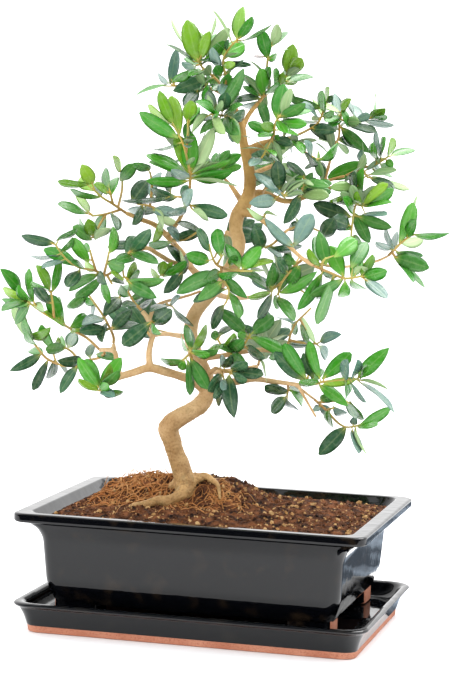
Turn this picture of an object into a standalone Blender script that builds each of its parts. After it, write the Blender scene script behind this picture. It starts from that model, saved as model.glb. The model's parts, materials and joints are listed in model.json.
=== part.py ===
"""Olive bonsai in a glazed rectangular pot on its drip tray.

The origin is the middle of the tray's underside, X runs along the pot to the right, Y to the back
and Z up. Everything is in metres.

The tree is drawn on a sheet: a grid of 450 by 675 squares that an eye in front of the pot looks
through. A place on the sheet and a depth behind the pot's middle give a point of the tree.
"""

import random
from math import acos, copysign, cos, hypot, pi, sin

import bmesh
import bpy
from mathutils import Vector
from mathutils.bvhtree import BVHTree

AIR = 0.0003             # between pieces that rest on one another

# Tray: half sizes of the rim and of the foot, and heights from the table.
TRAY_RIM = (0.1345, 0.0945)
TRAY_FOOT = (0.1246, 0.0843)
TRAY_HIGH = 0.0235
TRAY_FLOOR = 0.0120
TRAY_BAND = 0.0053       # height of the foot band, which has no glaze

# Pot: half sizes, and heights from the table.
POT_RIM = (0.1325, 0.0975)
POT_MOUTH = (0.1200, 0.0890)
POT_SHOULDER = (0.1142, 0.0842)
POT_KNEE = (0.1116, 0.0816)
POT_BASE = (0.1068, 0.0768)
POT_INSIDE = (0.1040, 0.0740)
POT_KNEE_HIGH = 0.0380   # below this the walls lean in to the base
POT_COVE = (0.0715, 0.0785)     # heights between which the wall curves out under the rim
POT_HIGH = 0.0910
POT_LIP = 0.0068
POT_BODY_FROM = 0.0225
POT_WALL = 0.0068
POT_FLOOR = 0.0300
FOOT_LONG, FOOT_DEEP = 0.034, 0.028
FOOT_INSET = 0.0012      # from the edge of the base
DRAIN_RADIUS = 0.009
DRAINS = ((-0.055, 0.0), (0.055, 0.0))

# Soil: its edge, how far the middle stands above it, and the old root ball on top of that.
SOIL_EDGE = (0.1160, 0.0850)
SOIL_RIM_HIGH = 0.0843
SOIL_DOME = 0.0065
ROOT_BALL = 0.0175
SOIL_CLEAR = 0.0009      # between the soil and the roots
SOIL_CORNER = 0.010
# Where the root ball rises and falls: a place, and how far on the rise or fall ends.
BALL_LEFT, BALL_RIGHT = (-0.104, 0.016), (0.002, 0.040)
BALL_FRONT, BALL_BACK = (-0.026, 0.030), (0.018, 0.060)
# Lines of the soil's top in mm, closest where the root ball is steep.
SOIL_LINES_X = (-116, -109, -103, -96, -88, -70, -50, -36, -22, -8, 4, 14, 28, 42, 62, 84, 104, 116)
SOIL_LINES_Y = (-85, -77, -62, -44, -31, -23, -16, -9, -2, 6, 18, 34, 50, 66, 78, 85)

# The sheet: where the eye is, how it looks, and what a unit of the sheet is at the trunk.
EYE = Vector((0.4251, -1.5854, 0.3702))
YAW, PITCH, ROLL = 0.2613, 0.0921, 0.026
SHEET_AWAY = 2182.6      # from the eye to the sheet, in units of the sheet
SHEET_MIDDLE = (225, 337.5)
UNIT = 0.000753
DEEP = 0.0015            # metres for each mark of depth

# Tree.
SEED = 7
TRUNK_SIDES, LIMB_SIDES = 9, 5
GAP = 0.0003             # between a spray's foot and the wood that it grows on
TWIG = 0.0013            # radius of a twig at its foot
TWIG_SIDES = 3
TWIG_TAPER = 0.35
WELD = 1e-6              # corners that a Boolean leaves this close are one
SUNK = 0.001             # a leaf's root stays this far from the end of its twig
LEAF_THICK = 0.0009
LEAF_SECTIONS = ((0.40, 0.98), (0.80, 0.74))    # share of the length, share of the width
LEAF_LONG = (0.024, 0.029)
LEAF_SHARE = (0.36, 0.42)     # width of a leaf for its length
BACK_LEAVES = 11
LEAST_LEAF = 120         # square units of the sheet; a leaf seen smaller is left to the looks

# The trunk from the root ball up: (across, down, depth, radius).
TRUNK = [
    (187, 497, 0, 11.5), (186, 484, 0, 11.5), (182, 471, 0, 10.4), (177, 456, -1, 9.7),
    (171, 439, -3, 10), (169, 427, -4, 10.6), (178, 418, -4, 10), (191, 411, -2, 9.2),
    (203, 402, 0, 8.8), (208, 389, 1, 8.2), (204, 372, 3, 8), (196, 355, 4, 7.7), (191, 338, 4, 7.5),
    (192, 321, 3, 7.4), (200, 306, 2, 7.2), (213, 291, 0, 7.2), (227, 274, -2, 7.2),
    (236, 257, -4, 7.1), (239, 243, -4, 7), (236, 230, -3, 7), (237, 217, -2, 7.3), (244, 205, 0, 7.6),
    (249, 192, 0, 6.7), (250, 178, 0, 6.2), (248, 164, 0, 5.7), (245, 151, 0, 5.1), (243, 138, 0, 4.4),
    (242, 127, 1, 3.6), (237, 112, 3, 2.8), (229, 98, 4, 2.3), (222, 87, 5, 1.8)
]
# The branches in the same way. The last six go back and carry the sprays behind the crown.
BRANCHES = [
    [(242, 130, 1, 3), (248, 116, 6, 2.6), (258, 103, 11, 2.2)],
    [(246, 152, 0, 4.6), (258, 146, 2, 4.4), (272, 142, 4, 3.8), (281, 140, 6, 3.2)],
    [(246, 201, 0, 6), (258, 193, 5, 4.2), (271, 196, 8, 3.4), (284, 201, 10, 2.9), (297, 200, 12, 2.7),
     (310, 195, 14, 2.5), (323, 190, 15, 2.3), (338, 186, 15, 2.1)],
    [(303, 198, 13, 2.4), (314, 187, 18, 2.1), (327, 181, 22, 1.9), (345, 176, 24, 1.7)],
    [(324, 182, 22, 2), (329, 165, 27, 1.9)],
    [(240, 212, -2, 5), (252, 215, -9, 3.2), (263, 221, -15, 2.6), (276, 233, -22, 2.4),
     (290, 247, -30, 2.2), (303, 259, -36, 2.1), (314, 266, -40, 1.9)],
    [(303, 259, -36, 2), (320, 264, -36, 1.8), (338, 267, -29, 1.7), (358, 265, -20, 1.6),
     (377, 261, -12, 1.5), (388, 256, -8, 1.4)],
    [(207, 391, 1, 6), (224, 384, -8, 4.5), (240, 381, -14, 3.8), (255, 379, -18, 3.2),
     (270, 381, -22, 2.8), (285, 383, -26, 2.5), (300, 385, -30, 2.2)],
    [(298, 385, -29, 2), (305, 398, -28, 1.6), (316, 417, -26, 1.4)],
    [(294, 384, -28, 2), (302, 390, -18, 1.7), (314, 399, -12, 1.6)],
    [(196, 356, 4, 5), (214, 357, 1, 3.1), (236, 353, -3, 2.7), (258, 350, -5, 2.6),
     (276, 351, -6, 2.3)],
    [(206, 389, 1, 6), (191, 380, -6, 4.9), (170, 373, -14, 4.5), (150, 368, -20, 4.6),
     (135, 372, -25, 4), (119, 377, -30, 3.6), (108, 382, -36, 2.6), (102, 387, -42, 1.9)],
    [(120, 377, -30, 3), (117, 364, -22, 2.7), (114, 351, -14, 2.6), (100, 350, -4, 2.4)],
    [(115, 354, -15, 2.4), (113.5, 344, -11, 2.1)],
    [(150, 369, -20, 4), (149, 354, -20, 3.2), (151, 342, -19, 3), (153, 334, -17, 2.8),
     (148, 319, -14, 2.8), (142, 311, -13, 2.4)],
    [(149, 321, -14, 2.4), (154, 308, -8, 2.1), (164, 302, -2, 1.9), (176, 299, 4, 1.8),
     (190, 295, 8, 1.7), (201, 291, 10, 1.5)],
    [(222, 281, -1, 6), (206, 279, 6, 4.4), (193, 270, 10, 3.8), (185, 257, 12, 3.5),
     (175, 245, 13, 3.3), (166, 235, 14, 3.2), (155, 225, 12, 2.8), (140, 219, 8, 2.6),
     (126, 213, 3, 2.3)],
    [(190, 267, 10, 3), (172, 262, 2, 2.7), (158, 254, -6, 2.6), (146, 248, -12, 2.4),
     (132, 254, -16, 2.1), (119, 265, -19, 1.9)],
    [(167, 236, 14, 2.8), (176, 225, 5, 2.4), (184, 210, -5, 2.2), (188, 198, -11, 2),
     (190, 186, -17, 1.8)],
    [(231, 268, -3, 3), (227, 269, -14, 2.1)],
    [(205, 374, 2, 3), (199, 365, -12, 2.1), (192, 358, -22, 1.8)],
    [(205, 376, 2, 3), (216, 368, -12, 2.3)],
    [(236, 257, -4, 4), (240, 250, 9, 3.2), (238, 240, 20, 2.8), (226, 232, 30, 2.4)],
    [(244, 205, 0, 4), (238, 196, 10, 3), (230, 184, 22, 2.5)],
    [(250, 178, 0, 4), (258, 172, 11, 2.9), (272, 166, 23, 2.4)],
    [(213, 291, 0, 4), (222, 296, 12, 3), (240, 298, 23, 2.5), (262, 296, 32, 2.2)],
    [(191, 338, 4, 4), (180, 336, 14, 3), (166, 334, 24, 2.5), (150, 336, 32, 2.2)],
    [(204, 372, 3, 4), (214, 372, 14, 3), (236, 370, 25, 2.5), (258, 366, 32, 2.1)]
]
# Each spray: its twigs from the wood outwards as (across, down, depth), then its leaves as the
# (across, down) of the foot and of the tip, the width seen and a shade: y lime, g fresh green,
# m mid green, d deep green, s soft bluish green, p pale underside, r brown.
SPRAYS = {
    "crown_left": (
        [[(222, 87, 5), (217, 80, 6), (209, 73, 5), (202, 67, 3), (198, 60, 0)]],
        [(197, 61, 187, 20, 20, "y"), (199, 59, 197, 30, 17, "y"), (201, 58, 209, 32, 12, "y"),
         (204, 58, 214, 33, 7, "g"), (205, 60, 229, 28, 12, "p"), (208, 61, 224, 41, 12, "g"),
         (193, 52, 170, 20, 3, "p"), (202, 54, 218, 18, 3, "p"), (196, 64, 167, 43, 4, "m"),
         (196, 67, 181, 65, 9, "s"), (198, 66, 186, 56, 9, "g"), (203, 70, 189, 75, 7, "g")]),
    "crown_peak": (
        [[(225, 92, 4), (226, 78, -6), (223, 62, -10), (228, 50, -12), (237, 40, -14)]],
        [(222, 55, 246, 44, 17, "g"), (237, 39, 243, 6, 13, "y"), (239, 39, 252, 17, 10, "g"),
         (232, 43, 213, 9, 3, "p"), (240, 42, 272, 25, 4, "m"), (219, 68, 212, 49, 10, "s"),
         (224, 62, 251, 66, 7, "d"), (223, 67, 235, 63, 9, "y"), (223, 74, 233, 68, 6, "y"),
         (221, 76, 216, 67, 12, "g"), (225, 89, 229, 74, 13, "g"), (225, 50, 229, 40, 5, "d")]),
    "crown_back_left": (
        [[(229, 98, 4), (218, 92, 16), (205, 86, 20), (192, 85, 20), (173, 86, 20)]],
        [(209, 79, 173, 91, 17, "d"), (170, 84, 177, 49, 11, "s"), (172, 83, 189, 72, 10, "g"),
         (168, 85, 135, 94, 4, "m"), (169, 83, 157, 76, 7, "s"), (206, 84, 206, 99, 9, "g"),
         (199, 90, 184, 106, 14, "d"), (214, 90, 200, 98, 8, "g"), (215, 86, 214, 74, 11, "g")]),
    "crown_mid": (
        [[(238, 115, 3), (230, 116, -12), (219, 115, -22), (210, 114, -26)]],
        [(218, 112, 244, 69, 13, "m"), (216, 113, 197, 101, 9, "g"), (214, 117, 195, 117, 8, "d"),
         (222, 117, 241, 103, 5, "m"), (221, 120, 200, 133, 9, "m"), (224, 120, 238, 134, 14, "m"),
         (208, 115, 191, 132, 8, "p"), (229, 118, 247, 114, 12, "d"), (217, 109, 206, 90, 12, "d"),
         (222, 112, 226, 93, 13, "d")]),
    "crown_right": (
        [[(258, 103, 11), (263, 97, 13), (265, 85, 15), (267, 66, 14), (268, 57, 12), (271, 46, 12)],
         [(263, 97, 13), (272, 90, 20), (282, 82, 25), (287, 74, 26)]],
        [(268, 59, 261, 31, 14, "g"), (271, 45, 279, 24, 12, "p"), (273, 46, 286, 31, 9, "m"),
         (267, 59, 278, 56, 8, "g"), (264, 56, 250, 57, 4, "r"), (287, 73, 293, 45, 16, "y"),
         (289, 72, 302, 59, 15, "y"), (264, 96, 260, 69, 14, "g"), (262, 97, 243, 85, 9, "g"),
         (265, 95, 278, 84, 7, "g"), (262, 88, 242, 76, 9, "g"), (268, 82, 269, 68, 7, "g"),
         (274, 88, 288, 65, 7, "m"), (284, 84, 298, 77, 12, "y"), (281, 85, 283, 73, 9, "y"),
         (261, 99, 230, 101, 8, "d"), (258, 100, 269, 128, 11, "m"), (258, 101, 240, 108, 9, "s"),
         (277, 88, 274, 70, 7, "m"), (287, 83, 314, 75, 8, "m")]),
    "crown_right_front": (
        [[(272, 141, 4), (274, 133, -8), (275, 124, -18), (279, 116, -24)],
         [(274, 133, -8), (268, 146, -14), (263, 156, -14)]],
        [(277, 119, 284, 84, 18, "g"), (283, 118, 290, 88, 10, "p"), (276, 123, 306, 124, 11, "g"),
         (275, 129, 262, 125, 11, "y"), (277, 130, 299, 134, 6, "g"), (274, 133, 259, 136, 6, "g"),
         (281, 117, 305, 104, 11, "m"), (284, 116, 312, 109, 8, "g"), (281, 112, 304, 108, 8, "s"),
         (275, 135, 279, 140, 6, "g"), (258, 161, 272, 163, 5, "g"), (263, 154, 282, 160, 5, "m"),
         (266, 149, 276, 155, 4, "g"), (262, 158, 250, 166, 9, "s")]),
    "right_top": (
        [[(281, 140, 6), (290, 138, 8), (306, 131, 14), (317, 124, 19), (322, 115, 22), (325, 106, 24)],
         [(292, 138, 8), (302, 150, 4), (318, 160, 6)]],
        [(321, 115, 314, 98, 8, "y"), (323, 113, 323, 91, 9, "g"), (326, 109, 329, 88, 4, "y"),
         (319, 119, 304, 103, 5, "s"), (318, 122, 288, 118, 4, "m"), (322, 108, 288, 97, 10, "m"),
         (324, 118, 333, 112, 8, "g"), (312, 129, 336, 131, 13, "d"), (326, 103, 332, 96, 7, "d"),
         (293, 140, 303, 153, 9, "g"), (288, 141, 294, 153, 5, "s"), (312, 156, 305, 141, 8, "s"),
         (304, 153, 316, 165, 6, "d"), (318, 163, 305, 167, 6, "d"), (319, 160, 340, 146, 11, "g"),
         (317, 160, 319, 151, 4, "y"), (319, 163, 327, 178, 9, "d")]),
    "right_top_far": (
        [[(329, 165, 27), (333, 150, 31), (339, 136, 35), (340, 121, 38), (350, 121, 40),
          (362, 120, 42), (371, 118, 42)],
         [(340, 121, 38), (342, 110, 34)]],
        [(339, 117, 335, 93, 12, "s"), (342, 112, 350, 99, 9, "y"), (360, 121, 350, 103, 11, "s"),
         (355, 119, 343, 90, 3, "s"), (350, 126, 342, 112, 8, "g"), (348, 125, 376, 132, 9, "d"),
         (341, 127, 370, 153, 13, "m"), (371, 118, 385, 109, 12, "y"), (371, 115, 376, 95, 3, "g"),
         (364, 121, 394, 125, 7, "s"), (371, 120, 386, 116, 7, "g"), (338, 130, 330, 118, 9, "d"),
         (338, 140, 356, 146, 10, "d"), (357, 121, 366, 116, 6, "y"), (336, 142, 310, 125, 12, "d")]),
    "right_high": (
        [[(345, 176, 24), (360, 169, 24), (373, 165, 24), (380, 162, 22), (389, 156, 20)],
         [(362, 168.5, 24), (368, 178, 20)]],
        [(367, 163, 327, 178, 16, "g"), (375, 159, 373, 143, 9, "g"), (380, 159, 384, 138, 5, "g"),
         (388, 157, 392, 139, 7, "y"), (391, 156, 415, 149, 8, "m"), (380, 164, 393, 170, 12, "g"),
         (372, 170, 392, 174, 7, "g"), (379, 156, 376, 132, 6, "s"), (372, 176, 409, 190, 7, "p"),
         (371, 178, 394, 189, 9, "d"), (364, 162, 359, 150, 9, "s"), (386, 160, 393, 166, 8, "g")]),
    "right_upper": (
        [[(338, 186, 15), (350, 190, 12), (356, 200, 8), (354, 212, 2), (352, 226, -4), (351, 238, -8)],
         [(355.5, 204, 6), (362, 206, -6)],
         [(350, 190, 12), (358, 185, 4)]],
        [(363, 205, 387, 184, 10, "y"), (363, 206, 394, 190, 13, "g"), (364, 207, 391, 201, 5, "g"),
         (361, 205, 357, 192, 7, "y"), (359, 194, 362, 169, 11, "g"), (353, 190, 355, 172, 9, "d"),
         (347, 190, 338, 180, 10, "g"), (350, 196, 331, 201, 6, "y"), (353, 214, 345, 198, 8, "g"),
         (351, 217, 313, 204, 16, "d"), (355, 213, 369, 243, 13, "m"), (358, 216, 391, 228, 12, "m"),
         (351, 230, 339, 226, 8, "g"), (362, 214, 386, 213, 5, "s"), (350, 226, 333, 219, 17, "d"),
         (353, 236, 363, 248, 8, "m"), (350, 206, 327, 199, 6, "d")]),
    "inner_right_leaf": (
        [[(262, 194, 6), (266, 188, -8), (277, 190, -16), (285, 197, -18)]],
        [(280, 190, 277, 161, 15, "d"), (286, 199, 255, 173, 10, "s"), (276, 200, 251, 203, 14, "s"),
         (270, 186, 258, 178, 8, "d")]),
    "inner_right_high": (
        [[(298, 200, 12), (302, 190, 2), (304, 178, -6)]],
        [(303, 178, 286, 169, 11, "g"), (306, 177, 288, 162, 8, "d"), (304, 186, 297, 181, 9, "g"),
         (303, 190, 289, 194, 7, "d"), (300, 195, 285, 223, 12, "d"), (305, 178, 313, 186, 6, "p")]),
    "inner_right_mid": (
        [[(276, 233, -22), (283, 234, -33), (292, 245, -39)],
         [(283, 234, -33), (290, 229, -26), (305, 226, -14), (321, 232, -8)],
         [(280, 233.6, -29), (268, 226, -30), (264, 214, -28)],
         [(283, 234, -33), (274, 243, -28), (265, 248, -22)]],
        [(294, 247, 264, 219, 11, "s"), (294, 246, 312, 214, 17, "s"), (303, 226, 288, 227, 10, "d"),
         (270, 247, 302, 248, 9, "d"), (264, 246, 286, 262, 7, "s"), (262, 249, 255, 227, 15, "d"),
         (322, 238, 334, 219, 16, "d"), (300, 228, 296, 217, 4, "p"), (264, 214, 278, 216, 4, "p"),
         (264, 217, 247, 212, 9, "p")]),
    "far_right": (
        [[(388, 256, -8), (395, 249, -6), (402, 242, -4), (412, 235, -2)],
         [(392, 252, -7), (398, 262, -2)]],
        [(399, 243, 414, 203, 15, "g"), (412, 230, 417, 195, 3, "p"), (406, 237, 415, 220, 11, "g"),
         (400, 243, 422, 240, 11, "p"), (413, 234, 450, 234, 7, "g"), (394, 257, 429, 268, 17, "m"),
         (400, 263, 425, 287, 6, "m"), (394, 249, 383, 228, 7, "s"), (393, 250, 376, 243, 8, "s"),
         (396, 248, 394, 232, 9, "s"), (391, 256, 362, 243, 12, "s"), (398, 264, 414, 281, 5, "g"),
         (396, 252, 423, 257, 9, "m")]),
    "front_right": (
        [[(314, 266, -40), (331, 273, -44), (343, 278, -46), (352, 278, -50), (362, 276, -52)],
         [(322, 269.5, -42), (322, 263, -50), (326, 258, -54)]],
        [(344, 277, 329, 246, 16, "g"), (351, 277, 362, 257, 12, "g"), (362, 276, 373, 256, 9, "y"),
         (363, 277, 386, 271, 13, "g"), (351, 280, 367, 291, 7, "g"), (345, 281, 343, 298, 12, "g"),
         (334, 257, 357, 240, 17, "g"), (351, 268, 367, 242, 15, "m"), (326, 265, 319, 231, 14, "m"),
         (319, 267, 309, 249, 8, "y"), (317, 264, 317, 236, 11, "m"), (338, 276, 318, 270, 8, "g"),
         (365, 279, 387, 298, 11, "s"), (343, 279, 309, 297, 11, "m"), (322, 273, 298, 310, 12, "g"),
         (354, 274, 367, 266, 8, "p"), (334, 277, 317, 324, 12, "m"), (332, 280, 318, 300, 9, "d")]),
    "inner_right_low": (
        [[(303, 259, -36), (294, 267, -28), (282, 282, -22), (278, 294, -18)],
         [(282, 282, -22), (272, 290, -14)]],
        [(297, 264, 281, 258, 13, "m"), (279, 292, 290, 263, 12, "m"), (300, 266, 287, 285, 14, "m"),
         (280, 293, 318, 273, 12, "g"), (278, 297, 294, 321, 12, "m"), (280, 292, 281, 283, 5, "y"),
         (272, 292, 253, 277, 12, "s"), (270, 289, 273, 262, 12, "m"), (272, 294, 258, 318, 10, "d"),
         (276, 295, 276, 308, 6, "m"), (270, 294, 249, 297, 8, "y"), (268, 288, 247, 276, 9, "m"),
         (288, 273, 277, 258, 10, "d")]),
    "centre_front": (
        [[(227, 269, -14), (217, 265, -27), (212, 256, -33), (209, 244, -36)],
         [(223, 267.4, -19), (232, 270, -34), (243, 271, -38), (252, 271, -40)],
         [(217, 265, -27), (222, 256, -36)],
         [(221, 266.5, -22), (222, 278, -26), (229, 290, -28), (226, 303, -26)]],
        [(240, 268, 226, 243, 12, "g"), (242, 269, 261, 247, 14, "g"), (244, 269, 273, 259, 8, "y"),
         (238, 266, 259, 245, 9, "m"), (251, 271, 264, 268, 6, "y"), (238, 274, 220, 275, 8, "g"),
         (221, 273, 176, 292, 16, "m"), (220, 272, 203, 281, 13, "m"), (222, 282, 198, 300, 14, "m"),
         (227, 289, 193, 301, 10, "d"), (223, 277, 247, 298, 11, "m"), (211, 252, 198, 230, 10, "d"),
         (221, 257, 216, 228, 14, "g"), (224, 256, 225, 238, 8, "g"), (209, 262, 187, 254, 14, "g"),
         (230, 266, 235, 255, 9, "m"), (230, 292, 240, 317, 10, "m"), (234, 273, 262, 275, 8, "m"),
         (224, 305, 211, 329, 11, "d")]),
    "centre_low": (
        [[(238, 352, -3), (243, 346, -14), (249, 337, -18)],
         [(243, 346, -14), (230, 352, -18), (222, 346, -20), (217, 338, -20)],
         [(243, 346, -14), (254, 350, -18), (260, 357, -18)]],
        [(247, 335, 219, 309, 14, "m"), (250, 334, 274, 316, 16, "m"), (251, 337, 285, 353, 13, "g"),
         (246, 338, 238, 333, 9, "g"), (216, 341, 215, 330, 10, "g"), (224, 348, 234, 334, 8, "y"),
         (229, 351, 243, 340, 13, "m"), (219, 336, 235, 326, 8, "d"), (250, 334, 248, 326, 8, "d"),
         (246, 347, 263, 358, 10, "d"), (259, 358, 267, 381, 3, "p"), (222, 348, 205, 352, 8, "g"),
         (236, 350, 221, 347, 8, "m"), (230, 354, 245, 366, 13, "m")]),
    "low_front": (
        [[(192, 358, -22), (190.5, 353, -25), (190, 349, -26)],
         [(190.5, 353, -25), (183, 360, -28)]],
        [(190, 350, 188, 324, 11, "g"), (192, 350, 207, 325, 9, "y"), (188, 351, 180, 333, 4, "g"),
         (192, 353, 209, 354, 9, "g"), (184, 360, 161, 362, 9, "m"), (185, 361, 180, 370, 9, "g"),
         (190, 358, 208, 389, 14, "m"), (188, 360, 191, 395, 9, "m"), (194, 353, 218, 350, 8, "m")]),
    "low_front_right": (
        [[(216, 368, -12), (226, 371, -22), (232, 374, -26)],
         [(221, 369.5, -17), (224, 379, -26)]],
        [(229, 375, 234, 418, 16, "d"), (222, 375, 208, 391, 12, "d"), (223, 381, 213, 398, 9, "d"),
         (225, 379, 222, 390, 8, "s"), (225, 382, 217, 406, 9, "d"), (232, 371, 263, 375, 12, "d"),
         (232, 374, 246, 380, 9, "d"), (224, 368, 232, 355, 10, "d"), (231, 370, 247, 362, 12, "d"),
         (220, 367, 224, 356, 8, "s")]),
    "low_right": (
        [[(300, 385, -30), (316, 384, -34), (322, 382, -37), (338, 380, -38), (358, 379, -38)],
         [(307, 384.5, -32), (308, 376, -38)]],
        [(306, 379, 284, 344, 14, "g"), (304, 380, 274, 352, 15, "d"), (304, 380, 290, 358, 7, "s"),
         (314, 378, 302, 353, 10, "d"), (320, 379, 308, 342, 12, "g"), (322, 379, 351, 353, 15, "g"),
         (323, 384, 357, 380, 9, "y"), (319, 385, 348, 406, 12, "g"), (318, 384, 300, 381, 9, "g"),
         (344, 380, 347, 360, 10, "s"), (353, 378, 358, 360, 8, "s"), (358, 378, 389, 348, 15, "g"),
         (360, 378, 371, 367, 7, "g"), (360, 380, 389, 389, 4, "p"), (359, 382, 396, 410, 6, "s"),
         (345, 381, 349, 398, 9, "m"), (350, 381, 366, 402, 5, "s"), (313, 384, 320, 368, 12, "m")]),
    "low_right_under": (
        [[(288, 384, -27), (288, 390, -16), (287, 396, -10)]],
        [(288, 393, 266, 386, 11, "d"), (286, 397, 270, 413, 13, "d"), (286, 398, 296, 411, 8, "s"),
         (290, 390, 304, 404, 10, "g"), (289, 389, 306, 392, 6, "d")]),
    "mid_low_right": (
        [[(276, 351, -6), (287, 345, -6), (291, 333, -6), (296, 323, -6), (305, 314, -5),
          (311, 308, -4)],
         [(288.5, 340, -6), (304, 343, -10), (318, 344, -12)],
         [(300, 319, -5.6), (306, 330, -14)]],
        [(288, 342, 312, 345, 9, "d"), (300, 325, 309, 343, 7, "m"), (316, 345, 303, 318, 8, "p"),
         (320, 341, 340, 334, 11, "s"), (319, 346, 328, 359, 10, "s"), (290, 335, 272, 341, 3, "p"),
         (294, 325, 276, 317, 4, "s"), (297, 321, 293, 334, 8, "g"), (282, 348, 270, 358, 8, "m")]),
    "low_right_hang": (
        [[(314, 399, -12), (326, 410, -8), (337, 422, -6), (346, 427, -5), (356, 426, -4)],
         [(326, 410, -8), (333, 408, -16)],
         [(318, 402.6, -11), (334, 401, -6), (347, 401, -4)]],
        [(346, 427, 319, 455, 16, "d"), (352, 430, 359, 453, 9, "s"), (355, 428, 367, 456, 4, "p"),
         (358, 426, 391, 409, 11, "g"), (358, 427, 376, 424, 7, "g"), (353, 425, 355, 416, 8, "s"),
         (347, 402, 355, 418, 9, "d"), (350, 401, 361, 420, 10, "m"), (320, 404, 329, 414, 10, "s"),
         (333, 406, 345, 416, 10, "s"), (329, 409, 332, 428, 8, "m"), (320, 400, 334, 396, 10, "m"),
         (320, 406, 313, 411, 7, "s")]),
    "left_crown": (
        [[(190, 186, -17), (190, 174, -21), (187, 158, -24), (182, 141, -26), (174, 126, -26)],
         [(186, 153, -24.6), (188, 134, -28), (188, 121, -30)]],
        [(173, 124, 159, 91, 12, "y"), (171, 124, 147, 107, 9, "y"), (180, 134, 171, 96, 15, "y"),
         (178, 138, 139, 113, 15, "g"), (188, 121, 191, 102, 14, "y"), (190, 173, 190, 131, 17, "g"),
         (188, 173, 177, 134, 14, "y"), (189, 176, 147, 154, 11, "g"), (188, 178, 150, 160, 9, "g"),
         (192, 173, 214, 128, 14, "p"), (193, 174, 232, 160, 8, "g"), (193, 178, 234, 171, 13, "g"),
         (188, 181, 146, 182, 11, "g"), (189, 179, 172, 170, 10, "s"), (192, 179, 240, 184, 3, "p"),
         (192, 175, 222, 162, 5, "p"), (180, 143, 152, 151, 4, "m")]),
    "left_rise": (
        [[(188, 199, -11), (187, 199, -22), (180, 197, -22), (170, 196, -16)],
         [(187, 199, -22), (192, 209, -26)]],
        [(177, 197, 150, 190, 11, "d"), (172, 197, 122, 203, 6, "d"), (171, 192, 167, 168, 10, "d"),
         (182, 198, 187, 186, 9, "d"), (184, 206, 191, 190, 11, "s"), (191, 205, 227, 216, 13, "d"),
         (192, 210, 210, 217, 9, "p"), (186, 206, 168, 216, 10, "s")]),
    "left_inner": (
        [[(160, 229, 13), (162, 214, 4), (150, 206, 0), (138, 204, 4), (130, 200, 8)],
         [(150, 206, 0), (152, 186, -6), (150, 172, -8)]],
        [(132, 202, 148, 180, 18, "d"), (150, 170, 134, 163, 10, "g"), (152, 210, 178, 214, 11, "s"),
         (153, 208, 165, 228, 8, "p"), (160, 212, 140, 210, 10, "d"), (146, 207, 129, 214, 12, "s"),
         (160, 218, 177, 222, 10, "p"), (143, 206, 134, 224, 9, "d"), (152, 200, 158, 171, 11, "s"),
         (161, 222, 153, 242, 9, "y")]),
    "left_mid_up": (
        [[(175, 245, 13), (173, 241, 2), (184, 240, -4), (196, 233, -8)]],
        [(172, 240, 200, 231, 11, "d"), (171, 242, 149, 247, 10, "m"), (202, 231, 179, 222, 7, "d"),
         (180, 241, 168, 228, 9, "s")]),
    "left_mid_low": (
        [[(187, 262, 11), (186, 266, 0), (178, 276, -4)]],
        [(185, 265, 168, 246, 9, "d"), (183, 270, 164, 293, 12, "d"), (178, 275, 188, 255, 9, "d"),
         (187, 264, 178, 250, 6, "p")]),
    "mid_left_bright": (
        [[(171, 262, 2), (166, 270, -8), (162, 276, -10)]],
        [(161, 276, 164, 262, 11, "y"), (163, 277, 186, 262, 10, "g"), (165, 271, 172, 263, 9, "y"),
         (160, 277, 150, 270, 7, "y")]),
    "mid_left": (
        [[(148, 249, -11), (138, 246, -22), (128, 254, -28), (123, 266, -30), (124, 278, -30)]],
        [(131, 252, 150, 230, 14, "d"), (126, 256, 135, 236, 14, "d"), (134, 257, 116, 262, 11, "m"),
         (126, 280, 138, 263, 11, "y"), (124, 279, 112, 272, 5, "y"), (128, 281, 140, 272, 8, "m"),
         (126, 281, 164, 281, 10, "m"), (128, 282, 156, 298, 14, "m"), (134, 248, 108, 246, 10, "d"),
         (130, 252, 158, 262, 10, "m")]),
    "far_left_high": (
        [[(126, 213, 3), (113, 204, -3), (103, 198, -8), (94, 190, -12)],
         [(113, 204, -3), (110, 192, -10)],
         [(121, 209.5, 0.7), (106, 214, -4), (92, 216, -8)],
         [(106, 214, -4), (98, 228, -10), (94, 238, -14)],
         [(118, 207.5, -0.7), (122, 190, 8), (122, 176, 10)]],
        [(93, 184, 82, 165, 14, "y"), (94, 191, 80, 177, 16, "y"), (90, 184, 58, 181, 8, "y"),
         (101, 197, 70, 190, 7, "m"), (111, 196, 116, 177, 11, "g"), (108, 193, 95, 184, 8, "y"),
         (99, 197, 96, 184, 8, "d"), (88, 213, 77, 192, 9, "y"), (89, 214, 59, 203, 9, "m"),
         (93, 236, 88, 219, 13, "y"), (90, 236, 78, 221, 8, "m"), (95, 240, 108, 226, 11, "p"),
         (120, 181, 135, 164, 13, "m"), (109, 188, 103, 168, 10, "m"), (121, 171, 113, 156, 8, "y"),
         (106, 216, 97, 232, 13, "m"), (92, 240, 73, 227, 12, "m"), (112, 213, 118, 229, 8, "d")]),
    "far_left_mid": (
        [[(119, 265, -19), (107, 275, -21), (96, 271, -24), (86, 269, -28), (78, 267, -32),
          (66, 259, -34), (55, 244, -36)],
         [(96, 271, -24), (92, 258, -30), (90, 250, -32)],
         [(104, 274, -21.8), (107, 262, -28), (109, 252, -32)],
         [(107, 275, -21), (112, 284, -24)]],
        [(80, 267, 44, 249, 13, "g"), (55, 243, 21, 237, 10, "d"), (60, 255, 30, 258, 5, "s"),
         (64, 260, 42, 267, 6, "s"), (56, 241, 76, 231, 6, "m"), (62, 252, 73, 239, 7, "m"),
         (89, 262, 74, 238, 12, "g"), (109, 253, 115, 227, 11, "g"), (107, 262, 124, 268, 15, "m"),
         (80, 270, 67, 286, 13, "d"), (98, 274, 69, 290, 10, "m"), (102, 276, 76, 298, 11, "m"),
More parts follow.
